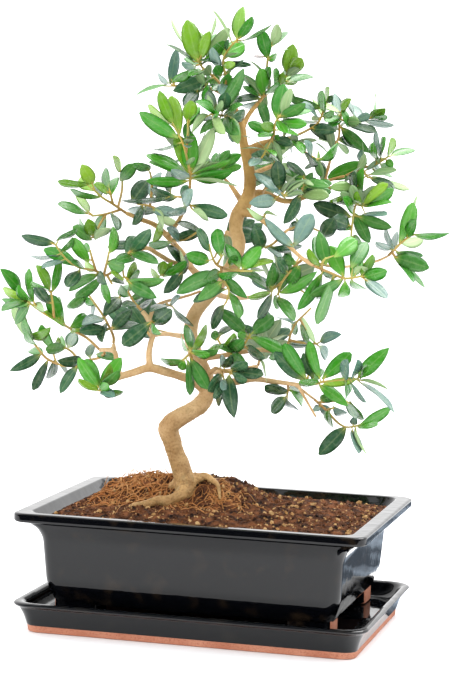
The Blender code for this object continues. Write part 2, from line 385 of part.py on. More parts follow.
         (104, 277, 107, 304, 9, "g"), (98, 272, 106, 284, 9, "d"), (111, 281, 124, 281, 8, "d"),
         (97, 270, 83, 262, 9, "y"), (84, 268, 72, 262, 6, "m"), (90, 252, 84, 243, 7, "g")]),
    "left_edge": (
        [[(100, 350, -4), (87, 338, 4), (74, 331, 0), (66, 326, -14), (50, 317, -24), (36, 308, -28),
          (25, 299, -30)],
         [(54, 319.3, -21.5), (53, 306, -32), (51, 292, -36)],
         [(40, 310.6, -26.9), (34, 303, -34)]],
        [(21, 291, 1, 269, 13, "g"), (27, 299, 2, 289, 10, "y"), (31, 302, 18, 286, 9, "g"),
         (30, 303, 1, 300, 9, "g"), (27, 301, 2, 309, 8, "m"), (52, 292, 60, 257, 9, "g"),
         (50, 290, 38, 266, 10, "y"), (34, 303, 28, 269, 8, "g"), (50, 291, 32, 282, 6, "g"),
         (50, 304, 36, 286, 11, "d"), (32, 305, 45, 309, 9, "p"), (60, 321, 50, 296, 15, "g"),
         (64, 323, 58, 297, 9, "m"), (66, 326, 46, 311, 9, "y"), (70, 328, 89, 316, 14, "g"),
         (70, 329, 82, 332, 7, "y"), (30, 304, 13, 324, 11, "m")]),
    "left_low_up": (
        [[(113.5, 344, -11), (113, 335, -9), (104, 317, -5), (93, 301, -2), (86, 291, 4)],
         [(104, 317, -5), (114, 306, 4), (122, 294, 8)],
         [(111, 331, -8), (112, 327, -16)]],
        [(120, 297, 104, 315, 15, "d"), (112, 330, 132, 309, 13, "d"), (112, 330, 141, 323, 9, "d"),
         (110, 329, 80, 331, 12, "d"), (103, 318, 82, 325, 11, "s"), (104, 324, 101, 341, 9, "d"),
         (96, 305, 90, 316, 6, "s"), (86, 292, 68, 309, 11, "m"), (95, 304, 82, 299, 9, "g"),
         (120, 297, 128, 284, 9, "m")]),
    "left_upright_low": (
        [[(151, 328, -16), (151, 324, -26), (152, 321, -28)]],
        [(151, 322, 122, 345, 17, "d"), (153, 324, 170, 311, 15, "d"), (151, 324, 160, 334, 7, "m")]),
    "left_upright_top": (
        [[(142, 311, -13), (134, 302, -12), (128, 291, -11)]],
        [(130, 298, 146, 292, 10, "m"), (130, 296, 118, 288, 10, "m"), (128, 291, 134, 278, 8, "m"),
         (138, 306, 152, 301, 8, "d"), (136, 304, 122, 306, 8, "d")]),
    "left_link": (
        [[(166, 301.5, -1), (168, 305, -9), (172, 306, -12)]],
        [(169, 306, 150, 311, 6, "d"), (172, 306, 193, 327, 6, "d"), (170, 304, 180, 296, 6, "s")]),
    "left_low": (
        [[(107, 351, -9), (99, 358, 5), (84, 361, 12), (72, 366, 16), (58, 364, 20), (53, 352, 22)],
         [(58, 364, 20), (46, 358, 22), (36, 346, 22), (28, 337, 20)],
         [(80, 362.7, 13.3), (72, 352, 16), (62, 346, 18)]],
        [(28, 339, 14, 305, 13, "p"), (32, 341, 24, 320, 9, "m"), (29, 338, 50, 329, 11, "y"),
         (54, 350, 41, 326, 10, "g"), (36, 345, 26, 332, 7, "m"), (66, 348, 47, 349, 12, "m"),
         (68, 348, 76, 330, 14, "d"), (82, 360, 58, 361, 12, "d"), (90, 358, 92, 343, 10, "d"),
         (43, 355, 29, 349, 10, "m"), (41, 354, 10, 371, 11, "d"), (54, 360, 51, 380, 11, "d"),
         (48, 360, 33, 390, 10, "d"), (60, 366, 70, 374, 6, "d"), (78, 366, 60, 393, 11, "d"),
         (96, 354, 117, 357, 10, "m"), (66, 347, 60, 336, 7, "g"), (52, 350, 58, 337, 6, "y")]),
    "left_bottom": (
        [[(102, 387, -42), (99, 391, -47)]],
        [(99, 388, 78, 358, 13, "g"), (100, 387, 85, 359, 14, "g"), (101, 388, 121, 358, 15, "g"),
         (101, 388, 110, 364, 9, "y"), (98, 391, 79, 379, 8, "y"), (100, 391, 108, 384, 11, "g"),
         (101, 391, 114, 396, 9, "s"), (101, 390, 122, 395, 10, "m"), (100, 388, 118, 372, 10, "m")]),
}
# The surface roots, in mm: (x, y, height of the root's middle over the soil, radius).
ROOTS = [
    [(-24, -4, 3, 7.5), (-23, -11, 3, 6.2), (-27, -17, 3, 5.4), (-34, -20, 2.6, 4.9), (-42, -22, 2, 4.4),
     (-50, -28, 1, 3.5), (-57, -31, 0.3, 2.8), (-62, -32, -0.6, 2)],
    [(-22, -6, 6, 7), (-13, 1, 5, 4.4), (-6, 0, 3, 3.4), (0, -5, 1.4, 2.6), (4, -12, -0.4, 1.8)],
    [(-27, -5, 5, 7), (-33, -4, 1, 4.5), (-38, -7, -0.6, 3)],
    [(-28, -1, 5, 7), (-36, 9, 0.8, 3.6), (-47, 17, -0.2, 2.6), (-58, 23, -1.2, 1.8)],
    [(-20, -2, 5, 6.5), (-12, 8, 0.6, 3.2), (-2, 16, -0.4, 2.4), (8, 24, -1.4, 1.6)],
]
BACK_NAMES = ("back_middle", "back_upper", "back_upper_right", "back_right", "back_left",
              "back_low_right")


LOOK = Vector((-sin(YAW) * cos(PITCH), cos(YAW) * cos(PITCH), -sin(PITCH)))
LEVEL = Vector((cos(YAW), sin(YAW), 0))
SIDE = LEVEL * cos(ROLL) + LEVEL.cross(LOOK) * sin(ROLL)
RISE = SIDE.cross(LOOK)
BACK = Vector((-sin(YAW), cos(YAW), 0))


def sight(across, down):
    """The direction from the eye through this square of the sheet."""
    return LOOK * SHEET_AWAY + SIDE * (across - SHEET_MIDDLE[0]) - RISE * (down - SHEET_MIDDLE[1])


def spot(across, down, depth):
    """The point seen through this square, so many marks of depth behind the pot's middle."""
    ray = sight(across, down)
    return EYE + ray * ((depth * DEEP - EYE.dot(BACK)) / ray.dot(BACK))


def ease(value):
    value = min(max(value, 0), 1)
    return value * value * (3 - 2 * value)


def soil_height(x, y):
    """Low near the pot's rim, with the old root ball standing up round the trunk and to its left."""
    fade = max(0, 1 - (x / SOIL_EDGE[0]) ** 4) * max(0, 1 - (y / SOIL_EDGE[1]) ** 4)
    ball = ease((x - BALL_LEFT[0]) / BALL_LEFT[1]) * (1 - ease((x - BALL_RIGHT[0]) / BALL_RIGHT[1]))
    ball *= ease((y - BALL_FRONT[0]) / BALL_FRONT[1]) * (1 - ease((y - BALL_BACK[0]) / BALL_BACK[1]))
    lumps = 0.0009 * sin(x * 210 + 1.3) * cos(y * 240 + x * 90) + 0.0006 * sin(x * 390 - y * 310)
    return SOIL_RIM_HIGH + SOIL_DOME * fade + ROOT_BALL * ball * fade + lumps * fade


def ring_frames(points):
    """Two directions square to the line at each of its points, carried along without twisting."""
    frames = []
    side = (points[1] - points[0]).orthogonal()
    for i, point in enumerate(points):
        ahead = points[min(i + 1, len(points) - 1)] - points[max(i - 1, 0)]
        ahead.normalize()
        side = (side - ahead * side.dot(ahead)).normalized()
        frames.append((side, ahead.cross(side)))
    return frames


def tube(points, radii, sides):
    """A closed tube along the points, with flat ends, as vertices and faces."""
    verts, faces = [], []
    for point, radius, (a, b) in zip(points, radii, ring_frames(points)):
        for k in range(sides):
            turn = 2 * pi * (k + 0.5) / sides
            verts.append(point + (a * cos(turn) + b * sin(turn)) * radius)
    for i in range(len(points) - 1):
        for k in range(sides):
            n = (k + 1) % sides
            faces.append((i * sides + k, i * sides + n, (i + 1) * sides + n, (i + 1) * sides + k))
    last = (len(points) - 1) * sides
    faces.append(tuple(reversed(range(sides))))
    faces.append(tuple(range(last, last + sides)))
    return verts, faces


def from_wood(point, lines):
    """How far a point is from the surface of the nearest branch, whose ends are flat."""
    nearest = 1.0
    for line in lines:
        for (a, ra), (b, rb) in zip(line, line[1:]):
            run = b - a
            share = (point - a).dot(run) / run.length_squared
            inside = min(max(share, 0), 1)
            across = (point - a - run * share).length - (ra + (rb - ra) * inside)
            beyond = abs(share - inside) * run.length
            nearest = min(nearest, hypot(beyond, max(across, 0)) if beyond else across)
    return nearest


def clear_foot(points, radius, lines):
    """The twig's points without the stretch of it that lies in the wood."""
    along = (points[1] - points[0]).normalized()
    a = along.orthogonal().normalized()
    b = along.cross(a)
    for step in range(int((points[1] - points[0]).length / 0.0002)):
        here = points[0] + along * (step * 0.0002)
        rim = [here + (a * cos(k * pi / 4) + b * sin(k * pi / 4)) * radius for k in range(8)]
        if min(from_wood(p, lines) for p in [here, *rim]) > GAP:
            return [here, *points[1:]]
    raise ValueError("a twig never leaves the wood")


def nearest_on(lines, across, down):
    """(units away, point, depth) of the place on these twigs that is nearest on the sheet."""
    best = None
    for line in lines:
        for (a, pa), (b, pb) in zip(line, line[1:]):
            dx, dy = b[0] - a[0], b[1] - a[1]
            share = ((across - a[0]) * dx + (down - a[1]) * dy) / max(dx * dx + dy * dy, 1e-9)
            share = min(max(share, 0), 1 - SUNK / (pb - pa).length)
            away = hypot(across - a[0] - dx * share, down - a[1] - dy * share)
            if best is None or away < best[0]:
                best = (away, pa.lerp(pb, share), a[2] + (b[2] - a[2]) * share)
    return best


def blade_frame(foot, tip, seen, turn, under):
    """(across, up) of a leaf that shows this share of its width; turn picks the way it leans."""
    along = (tip - foot).normalized()
    to_eye = (EYE - foot.lerp(tip, 0.5)).normalized()
    face = (to_eye - along * to_eye.dot(along)).normalized()
    lean = acos(min(max(seen, 0.1), 1)) * turn
    up = face * cos(lean) + along.cross(face) * sin(lean)
    if under:
        up = -up
    return up.cross(along), up


def blade(root, foot, tip, across, up, width, arch, swell=0):
    """A leaf with a flat top and a keel: an edge in the twig, two sections and a tip."""
    top, keel = up * swell, up * (-LEAF_THICK - swell * 2)
    verts = [root + top + up * LEAF_THICK * 0.3, root + keel * 0.3]
    for share, wide in LEAF_SECTIONS:
        middle = foot.lerp(tip, share) + up * ((tip - foot).length * arch * 4 * share * (1 - share))
        half = across * (width / 2 * wide + swell)
        verts += [middle + top - half, middle + top + half, middle + keel]
    verts.append(tip + (tip - foot).normalized() * swell)
    faces = [(0, 3, 2), (0, 2, 4, 1), (0, 1, 4, 3), (2, 3, 6, 5), (3, 4, 7, 6), (4, 2, 5, 7),
             (5, 6, 8), (6, 7, 8), (7, 5, 8)]
    return verts, faces


def reach(verts):
    return [min(v[i] for v in verts) for i in range(3)], [max(v[i] for v in verts) for i in range(3)]


class Crowd:
    """What is in place already, so that a new leaf can turn away from it."""

    def __init__(self):
        self.things = []

    def add(self, owner, verts, faces):
        low, high = reach(verts)
        self.things.append((owner, low, high, BVHTree.FromPolygons(verts, faces)))

    def meets(self, verts, faces, keep=None):
        """The owner of something that this touches, leaving out what keep owns."""
        low, high = reach(verts)
        shape = None
        for owner, its_low, its_high, other in self.things:
            if owner == keep or any(its_low[i] > high[i] or its_high[i] < low[i] for i in range(3)):
                continue
            shape = shape or BVHTree.FromPolygons(verts, faces)
            if shape.overlap(other):
                return owner
        return None

    def hides(self, point):
        """Whether something stands between the eye and this point."""
        run = point - EYE
        ray = run.normalized()
        hits = (other.ray_cast(EYE, ray, run.length - 0.002)[0] for _, _, _, other in self.things)
        return any(hit is not None for hit in hits)


def wood_lines():
    """The trunk and the branches as lists of (point, radius)."""
    return [[(spot(*p[:3]), p[3] * UNIT) for p in line] for line in [TRUNK, *BRANCHES]]


def root_lines():
    """The surface roots as lists of (point, radius), half sunk in the soil."""
    lines = []
    for root in ROOTS:
        plan = [(x / 1000, y / 1000, lift / 1000, radius / 1000) for x, y, lift, radius in root]
        lines.append([(Vector((x, y, soil_height(x, y) + lift)), radius) for x, y, lift, radius in plan])
    return lines


def twig_radii(count):
    return [TWIG * (1 - TWIG_TAPER * i / (count - 1)) for i in range(count)]


def grow_twigs(wood, crowd):
    """{spray: (twigs on the sheet with their points, tubes)}."""
    for line in wood:
        crowd.add("wood", *tube([p for p, _ in line], [r + GAP for _, r in line], 8))
    sprays = {}
    for name, (twigs, _) in SPRAYS.items():
        lines, tubes = [], []
        for twig in twigs:
            points = [spot(*p) for p in twig]
            radii = twig_radii(len(points))
            if not lines:
                points = clear_foot(points, radii[0], wood)
            lines.append(list(zip(twig, points)))
            tubes.append((points, radii))
        for points, radii in tubes:
            crowd.add(name, *tube(points, [r + GAP for r in radii], 4))
        sprays[name] = (lines, tubes, [])
    return sprays


def place_leaves(rng, crowd, sprays):
    """Puts every leaf where the sheet has it, turned or moved in depth until it meets no other spray."""
    for name, (lines, _, placed) in sprays.items():
        inners = []
        for foot_across, foot_down, tip_across, tip_down, seen_wide, shade in SPRAYS[name][1]:
            _, root, depth = nearest_on(lines, foot_across, foot_down)
            foot = spot(foot_across, foot_down, depth)
            seen_long = (spot(tip_across, tip_down, depth) - foot).length
            long = max(seen_long, min(rng.uniform(*LEAF_LONG), seen_long * 2))
            slope = (long * long - seen_long * seen_long) ** 0.5 / DEEP
            full = max(seen_wide * UNIT, long * rng.uniform(*LEAF_SHARE))
            arch = rng.uniform(-0.02, 0.06)
            tilt, turn = rng.choice((-1, 1)), rng.choice((-1, 1))
            shift = rng.uniform(3, 7)
            best = None
            for move, way, lean in ((0, tilt, turn), (0, tilt, -turn), (0, -tilt, turn), (0, -tilt, -turn),
                                    (shift, tilt, turn), (-shift, tilt, turn), (shift, tilt, -turn),
                                    (-shift, tilt, -turn), (2 * shift, tilt, turn), (-2 * shift, tilt, turn),
                                    (3 * shift, tilt, -turn), (-3 * shift, tilt, -turn)):
                tip = spot(tip_across, tip_down, depth + way * slope + move)
                across, up = blade_frame(foot, tip, seen_wide * UNIT / full, lean, shade == "p")
                fat = blade(foot, foot, tip, across, up, full, arch, GAP)
                if crowd.meets(*fat, keep=name):
                    continue
                from_foot = foot.lerp(tip, 0.3)
                inner = BVHTree.FromPolygons(*blade(from_foot, from_foot, tip, across, up, full, arch))
                crossed = any(inner.overlap(other) for other in inners)
                if best is None or (best[0] and not crossed):
                    best = (crossed, tip, across, up, fat, inner)
                if not crossed:
                    break
            if best is None:
                continue
            _, tip, across, up, fat, inner = best
            crowd.add(name, *fat)
            inners.append(inner)
            area = hypot(tip_across - foot_across, tip_down - foot_down) * seen_wide
            placed.append((root, foot, tip, across, up, full, arch, shade, area))


def back_sprays(rng, wood, crowd, sprays):
    """Fills the back of the crown with paired leaves, all where the eye sees nothing of them."""
    for name, stub in zip(BACK_NAMES, wood[-len(BACK_NAMES):]):
        foot = stub[-1][0]
        ahead = (foot - stub[-2][0]).normalized()
        twigs = None
        for _ in range(300):
            swing = Vector([rng.uniform(-1, 1) for _ in range(3)]) * 0.7
            heading = (ahead + BACK * 0.6 + Vector((0, 0, 0.25)) + swing).normalized()
            bend = (heading + Vector([rng.uniform(-1, 1) for _ in range(3)]) * 0.5).normalized()
            middle = foot + heading * 0.026
            main = [foot, foot + heading * 0.013, middle, middle + bend * 0.016, middle + bend * 0.032]
            main = clear_foot(main, TWIG, wood)
            sprout = (bend.cross(heading).normalized() + heading * 0.6).normalized()
            twin = (heading * 0.6 - bend.cross(heading).normalized()).normalized()
            tries = [main, [main[2], main[2] + sprout * 0.012, main[2] + sprout * 0.026],
                     [main[1], main[1] + twin * 0.012, main[1] + twin * 0.024]]
            fats = [tube(line, [r + 2 * GAP for r in twig_radii(len(line))], 4) for line in tries]
            fats[0] = tube(main[1:], [r + 2 * GAP for r in twig_radii(4)], 4)
            if all(crowd.hides(p) for line in tries for p in line[1:]) and not any(
                    crowd.meets(*fat) for fat in fats):
                twigs = tries
                break
        if twigs is None:
            continue
        tubes = [(line, twig_radii(len(line))) for line in twigs]
        for line, radii in tubes:
            crowd.add(name, *tube(line, [r + GAP for r in radii], 4))
        placed, inners = [], []
        for line in twigs:
            for before, node in zip(line, line[1:]):
                along = (node - before).normalized()
                root = node - along * SUNK
                for _ in range(14):
                    if len(placed) >= BACK_LEAVES:
                        break
                    out = along.orthogonal().normalized()
                    turn = rng.uniform(0, 2 * pi)
                    out = out * cos(turn) + along.cross(out) * sin(turn)
                    along_leaf = (along * 0.5 + out + Vector((0, 0, 0.2))).normalized()
                    long = rng.uniform(*LEAF_LONG)
                    tip = root + along_leaf * long
                    across = along_leaf.cross(along).normalized()
                    up = across.cross(along_leaf)
                    if up.z < 0:
                        across, up = -across, -up
                    wide = long * rng.uniform(*LEAF_SHARE)
                    arch = rng.uniform(-0.02, 0.06)
                    fat = blade(root, root, tip, across, up, wide, arch, GAP)
                    if crowd.meets(*fat, keep=name):
                        continue
                    from_root = root.lerp(tip, 0.15)
                    inner = BVHTree.FromPolygons(*blade(from_root, from_root, tip, across, up, wide, arch))
                    if any(inner.overlap(other) for other in inners):
                        continue
                    middle = root.lerp(tip, 0.5)
                    edges = [tip, middle + across * wide / 2, middle - across * wide / 2]
                    if not all(crowd.hides(p) for p in edges):
                        continue
                    crowd.add(name, *fat)
                    inners.append(inner)
                    placed.append((root, root, tip, across, up, wide, arch, "d", LEAST_LEAF))
        sprays[name] = ([], tubes, placed)


def grow_tree():
    """(wood lines, root lines, {spray: (twigs on the sheet, tubes, leaves)})."""
    rng = random.Random(SEED)
    wood = wood_lines()
    crowd = Crowd()
    sprays = grow_twigs(wood, crowd)
    place_leaves(rng, crowd, sprays)
    back_sprays(rng, wood, crowd, sprays)
    return wood, root_lines(), sprays


def clear_scene():
    for item in list(bpy.data.objects):
        bpy.data.objects.remove(item)


def soft(name, colour, roughness):
    """A plain material: a base colour and how rough it is."""
    material = bpy.data.materials.new(name)
    material.use_nodes = True
    shader = material.node_tree.nodes["Principled BSDF"]
    shader.inputs["Base Color"].default_value = (*colour, 1)
    shader.inputs["Roughness"].default_value = roughness
    material.diffuse_color = (*colour, 1)
    return material


def solid(name, verts, faces, material=None):
    mesh = bpy.data.meshes.new(name)
    mesh.from_pydata([tuple(v) for v in verts], [], faces)
    work = bmesh.new()
    work.from_mesh(mesh)
    bmesh.ops.recalc_face_normals(work, faces=work.faces)
    if work.calc_volume(signed=True) < 0:
        bmesh.ops.reverse_faces(work, faces=work.faces)
    work.to_mesh(mesh)
    work.free()
    made = bpy.data.objects.new(name, mesh)
    bpy.context.scene.collection.objects.link(made)
    if material:
        mesh.materials.append(material)
    return made


def joined(base, others, operation="UNION"):
    """The base with the others added or cut away, as a plain mesh; the others are removed."""
    group = bpy.data.collections.new("helpers")
    bpy.context.scene.collection.children.link(group)
    for other in others:
        bpy.context.scene.collection.objects.unlink(other)
        group.objects.link(other)
    change = base.modifiers.new("join", "BOOLEAN")
    change.operation = operation
    change.operand_type = "COLLECTION"
    change.collection = group
    change.solver = "EXACT"
    bpy.context.view_layer.update()
    seen = base.evaluated_get(bpy.context.evaluated_depsgraph_get())
    mesh = bpy.data.meshes.new_from_object(seen)
    base.modifiers.clear()
    base.data = mesh
    for other in others:
        bpy.data.objects.remove(other)
    bpy.data.collections.remove(group)
    return base


def rounded(half, corner, high, steps=3):
    """A rounded rectangle at this height, once round."""
    points = []
    for k in range(4):
        cx = (half[0] - corner) * (1, -1, -1, 1)[k]
        cy = (half[1] - corner) * (1, 1, -1, -1)[k]
        for i in range(steps + 1):
            turn = (k + i / steps) * pi / 2
            points.append(Vector((cx + corner * cos(turn), cy + corner * sin(turn), high)))
    return points


def stacked(name, rings, material):
    """A closed body from rings of equal length, the first and the last filled."""
    verts = [point for ring in rings for point in ring]
    n = len(rings[0])
    faces = []
    for i in range(len(rings) - 1):
        for k in range(n):
            m = (k + 1) % n
            faces.append((i * n + k, i * n + m, (i + 1) * n + m, (i + 1) * n + k))
    faces.append(tuple(reversed(range(n))))
    faces.append(tuple(range(len(verts) - n, len(verts))))
    return solid(name, verts, faces, material)


def inset(half, by):
    return half[0] - by, half[1] - by


def make_tray():
    """One fired piece: a shallow tray with a rolled rim and a floor above its foot band."""
    rim, foot = TRAY_RIM, TRAY_FOOT
    rings = [
        rounded(foot, 0.010, 0),
        rounded(inset(foot, -0.0006), 0.010, TRAY_BAND),
        rounded(inset(foot, -0.0030), 0.011, 0.0130),
        rounded(inset(foot, -0.0062), 0.012, 0.0195),
        rounded(inset(rim, 0.0012), 0.014, 0.0205),
        rounded(rim, 0.015, 0.0220),
        rounded(inset(rim, 0.0014), 0.015, TRAY_HIGH),
        rounded(inset(rim, 0.0048), 0.016, TRAY_HIGH),
        rounded(inset(rim, 0.0066), 0.016, 0.0220),
        rounded(inset(rim, 0.0086), 0.017, 0.0160),
        rounded(inset(rim, 0.0125), 0.016, TRAY_FLOOR),
    ]
    return stacked("drip_tray", rings, soft("tray_glaze", (0.012, 0.014, 0.018), 0.18))


def make_pot():
    """One fired piece: out-turned rim, slightly tapered walls, four corner feet, two drain holes."""
    body = POT_BODY_FROM
    rings = [
        rounded(inset(POT_BASE, 0.0020), 0.009, body),
        rounded(POT_BASE, 0.009, body + 0.0022),
        rounded(POT_KNEE, 0.009, POT_KNEE_HIGH),
        rounded(POT_SHOULDER, 0.009, POT_COVE[0]),
        rounded(inset(POT_SHOULDER, -0.0034), 0.009, POT_COVE[1]),
        rounded(inset(POT_RIM, 0.0065), 0.010, POT_HIGH - POT_LIP - 0.0004),
        rounded(inset(POT_RIM, 0.0006), 0.010, POT_HIGH - POT_LIP),
        rounded(POT_RIM, 0.010, POT_HIGH - POT_LIP + 0.0012),
        rounded(POT_RIM, 0.010, POT_HIGH - 0.0010),
        rounded(inset(POT_RIM, 0.0012), 0.010, POT_HIGH),
        rounded(inset(POT_MOUTH, -0.0010), 0.011, POT_HIGH),
        rounded(POT_MOUTH, 0.011, POT_HIGH - 0.0016),
        rounded(inset(POT_MOUTH, 0.0030), 0.010, 0.0845),
        rounded(inset(POT_SHOULDER, POT_WALL), 0.008, 0.0760),
        rounded(POT_INSIDE, 0.008, POT_FLOOR + 0.0030),
        rounded(inset(POT_INSIDE, 0.0030), 0.008, POT_FLOOR),
    ]
    pot = stacked("pot", rings, soft("pot_glaze", (0.010, 0.011, 0.014), 0.12))
    feet = []
    low = TRAY_FLOOR + AIR
    for sx in (-1, 1):
        for sy in (-1, 1):
            middle = Vector((sx * (POT_BASE[0] - FOOT_INSET - FOOT_LONG / 2),
                             sy * (POT_BASE[1] - FOOT_INSET - FOOT_DEEP / 2), 0))
            steps = [(0.0012, low), (0, low + 0.0012), (0, body + 0.0020)]
            half = (FOOT_LONG / 2, FOOT_DEEP / 2)
            foot = [[middle + p for p in rounded(inset(half, by), 0.006, z, 2)] for by, z in steps]
            feet.append(stacked("foot", foot, None))
    pot = joined(pot, feet)
    holes = []
    for x, y in DRAINS:
        turns = [k * pi / 6 for k in range(12)]
        rims = [[(x + DRAIN_RADIUS * cos(turn), y + DRAIN_RADIUS * sin(turn), z) for turn in turns]
                for z in (body - 0.004, POT_FLOOR + 0.004)]
        holes.append(stacked("hole", rims, None))
    return joined(pot, holes, "DIFFERENCE")


def in_corner(x, y):
    """The place moved in from the square corner of the soil's edge to its rounded one."""
    past = [max(0, abs(p) - (edge - SOIL_CORNER)) / SOIL_CORNER for p, edge in zip((x, y), SOIL_EDGE)]
    if min(past) > 0:
        pulled = (past[0] * (1 - past[1] ** 2 / 2) ** 0.5, past[1] * (1 - past[0] ** 2 / 2) ** 0.5)
        x, y = (copysign(edge - SOIL_CORNER * (1 - share), p)
                for p, edge, share in zip((x, y), SOIL_EDGE, pulled))
    return x, y


def soil_body(lines_x, lines_y, height):
    """Vertices and faces of the soil: a top of squares on these lines, and sides in the pot's inside."""
    places = [in_corner(x, y) for y in lines_y for x in lines_x]
    verts = [Vector((x, y, height(x, y))) for x, y in places]
    wide, deep = len(lines_x), len(lines_y)
    faces = [(j * wide + i, j * wide + i + 1, (j + 1) * wide + i + 1, (j + 1) * wide + i)
             for j in range(deep - 1) for i in range(wide - 1)]
    upper = [*range(wide - 1), *range(wide - 1, wide * deep - 1, wide),
             *range(wide * deep - 1, wide * (deep - 1), -1), *range(wide * (deep - 1), 0, -wide)]
    clear, n = AIR * 1.5, len(upper)
    edge = [verts[i] for i in upper]
    for half, high in ((inset(POT_SHOULDER, POT_WALL + clear), 0.0758),
                       (inset(POT_INSIDE, clear), POT_FLOOR + AIR + 0.0032),
                       (inset(POT_INSIDE, clear + 0.0030), POT_FLOOR + AIR)):
        lower = range(len(verts), len(verts) + n)
        verts += [Vector((p.x * half[0] / SOIL_EDGE[0], p.y * half[1] / SOIL_EDGE[1], high)) for p in edge]
        faces += [(upper[k], lower[k], lower[(k + 1) % n], upper[(k + 1) % n]) for k in range(n)]
        upper = lower
    faces.append(tuple(reversed(upper)))
    return verts, faces


def make_soil(material):
    lines_x, lines_y = ([line / 1000 for line in lines] for lines in (SOIL_LINES_X, SOIL_LINES_Y))
    return solid("soil", *soil_body(lines_x, lines_y, soil_height), material)




def hollow(line):
    """What this limb needs cut out of the soil: itself, a little longer and thicker."""
    points = [p for p, _ in line]
    start = points[0] + (points[0] - points[1]).normalized() * SOIL_CLEAR
    end = points[-1] + (points[-1] - points[-2]).normalized() * SOIL_CLEAR
    return solid("hollow", *tube([start, *points[1:-1], end], [r + SOIL_CLEAR for _, r in line], 10))


def make_wood(wood, roots, material):
    """The trunk, the branches and the roots, grown together in one body."""
    lines = [(line, TRUNK_SIDES if i == 0 else LIMB_SIDES) for i, line in enumerate(wood + roots)]
    limbs = [solid("limb", *tube([p for p, _ in line], [r for _, r in line], sides))
             for line, sides in lines]
    tree = joined(limbs[0], limbs[1:])
    dress(tree, "trunk", material)


def outer_shell(item):
    """Fills hollows that the joining sealed and drops loose scraps: only the largest shell stays."""
    work = bmesh.new()
    work.from_mesh(item.data)
    bmesh.ops.remove_doubles(work, verts=work.verts, dist=WELD)
    left, shells = set(work.faces), []
    while left:
        shell, front = set(), [left.pop()]
        while front:
            face = front.pop()
            shell.add(face)
            near = {other for edge in face.edges for other in edge.link_faces} & left
            left -= near
            front += near
        shells.append(shell)
    largest = max(shells, key=len)
    spare = [face for shell in shells if shell is not largest for face in shell]
    bmesh.ops.delete(work, geom=spare, context="FACES")
    work.to_mesh(item.data)
    work.free()


def make_spray(name, tubes, leaves, material):
    """One leafy spray: its twigs and its leaves in one body."""
    pieces = [solid("twig", *tube(points, radii, TWIG_SIDES)) for points, radii in tubes]
    pieces += [solid("leaf", *blade(*leaf[:7])) for leaf in leaves if leaf[8] >= LEAST_LEAF]
    spray = joined(pieces[0], pieces[1:])
    dress(spray, name, material)
    outer_shell(spray)


def dress(item, name, material):
    item.name = item.data.name = name
    item.data.materials.clear()
    item.data.materials.append(material)


clear_scene()
bark = soft("bark", (0.42, 0.29, 0.18), 0.8)
young = soft("leaf_young", (0.22, 0.42, 0.05), 0.4)
mature = soft("leaf_mature", (0.05, 0.13, 0.06), 0.45)

make_tray()
make_pot()
wood, roots, sprays = grow_tree()
soil = make_soil(soft("earth", (0.09, 0.05, 0.035), 0.95))
joined(soil, [hollow(line) for line in [wood[0][:5], *roots]], "DIFFERENCE")
make_wood(wood, roots, bark)
for name, (_, tubes, leaves) in sprays.items():
    fresh = sum(leaf[7] in "yg" for leaf in leaves) * 2 > len(leaves)
    make_spray(name, tubes, leaves, young if fresh else mature)
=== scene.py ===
# %% [markdown]
# # An olive bonsai in its glazed pot
# The real object is a small olive tree of about 47 cm with its pot. The pot and its drip tray are
# red clay, dipped in a black glaze and fired. The tree grows in dark crumbly earth, with its old
# root ball standing up out of it.
#
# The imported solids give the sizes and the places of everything. This file dresses them: finer
# shapes for the same pieces, and finishes made of nodes.

# %% The frame that everything stands in
import json
import random
from functools import partial
from math import acos, copysign, cos, hypot, pi, radians, sin

import bmesh
import bpy
import numpy as np
from mathutils import Matrix, Vector, noise
from mathutils.bvhtree import BVHTree

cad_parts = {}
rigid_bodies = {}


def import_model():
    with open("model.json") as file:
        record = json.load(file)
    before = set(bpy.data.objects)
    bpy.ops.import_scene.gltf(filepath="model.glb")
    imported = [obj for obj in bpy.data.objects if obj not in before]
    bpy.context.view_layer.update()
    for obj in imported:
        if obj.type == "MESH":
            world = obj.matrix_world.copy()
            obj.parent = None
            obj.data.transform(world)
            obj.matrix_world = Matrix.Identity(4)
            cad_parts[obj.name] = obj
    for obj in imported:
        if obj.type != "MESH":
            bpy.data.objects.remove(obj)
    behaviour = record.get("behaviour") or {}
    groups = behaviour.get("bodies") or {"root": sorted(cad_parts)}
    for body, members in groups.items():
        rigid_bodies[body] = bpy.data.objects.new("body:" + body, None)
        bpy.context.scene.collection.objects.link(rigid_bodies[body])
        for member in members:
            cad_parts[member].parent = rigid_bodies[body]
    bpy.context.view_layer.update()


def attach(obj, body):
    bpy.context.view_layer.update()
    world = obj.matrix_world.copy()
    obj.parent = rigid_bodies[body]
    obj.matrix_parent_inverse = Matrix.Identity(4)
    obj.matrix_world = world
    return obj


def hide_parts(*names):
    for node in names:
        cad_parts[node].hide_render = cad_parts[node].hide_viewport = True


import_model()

# %% [markdown]
# ## The eye and its sheet
# A tree has no straight edges to measure, so it is drawn as a gardener would sketch it: on a
# sheet of 450 by 675 squares held before the eye. A square and a depth behind the pot's middle
# give one point of the tree. The camera stands at that same eye, so the sketch and the render
# agree. It could also be modelled freely in space, but then no twig would fall where it should.

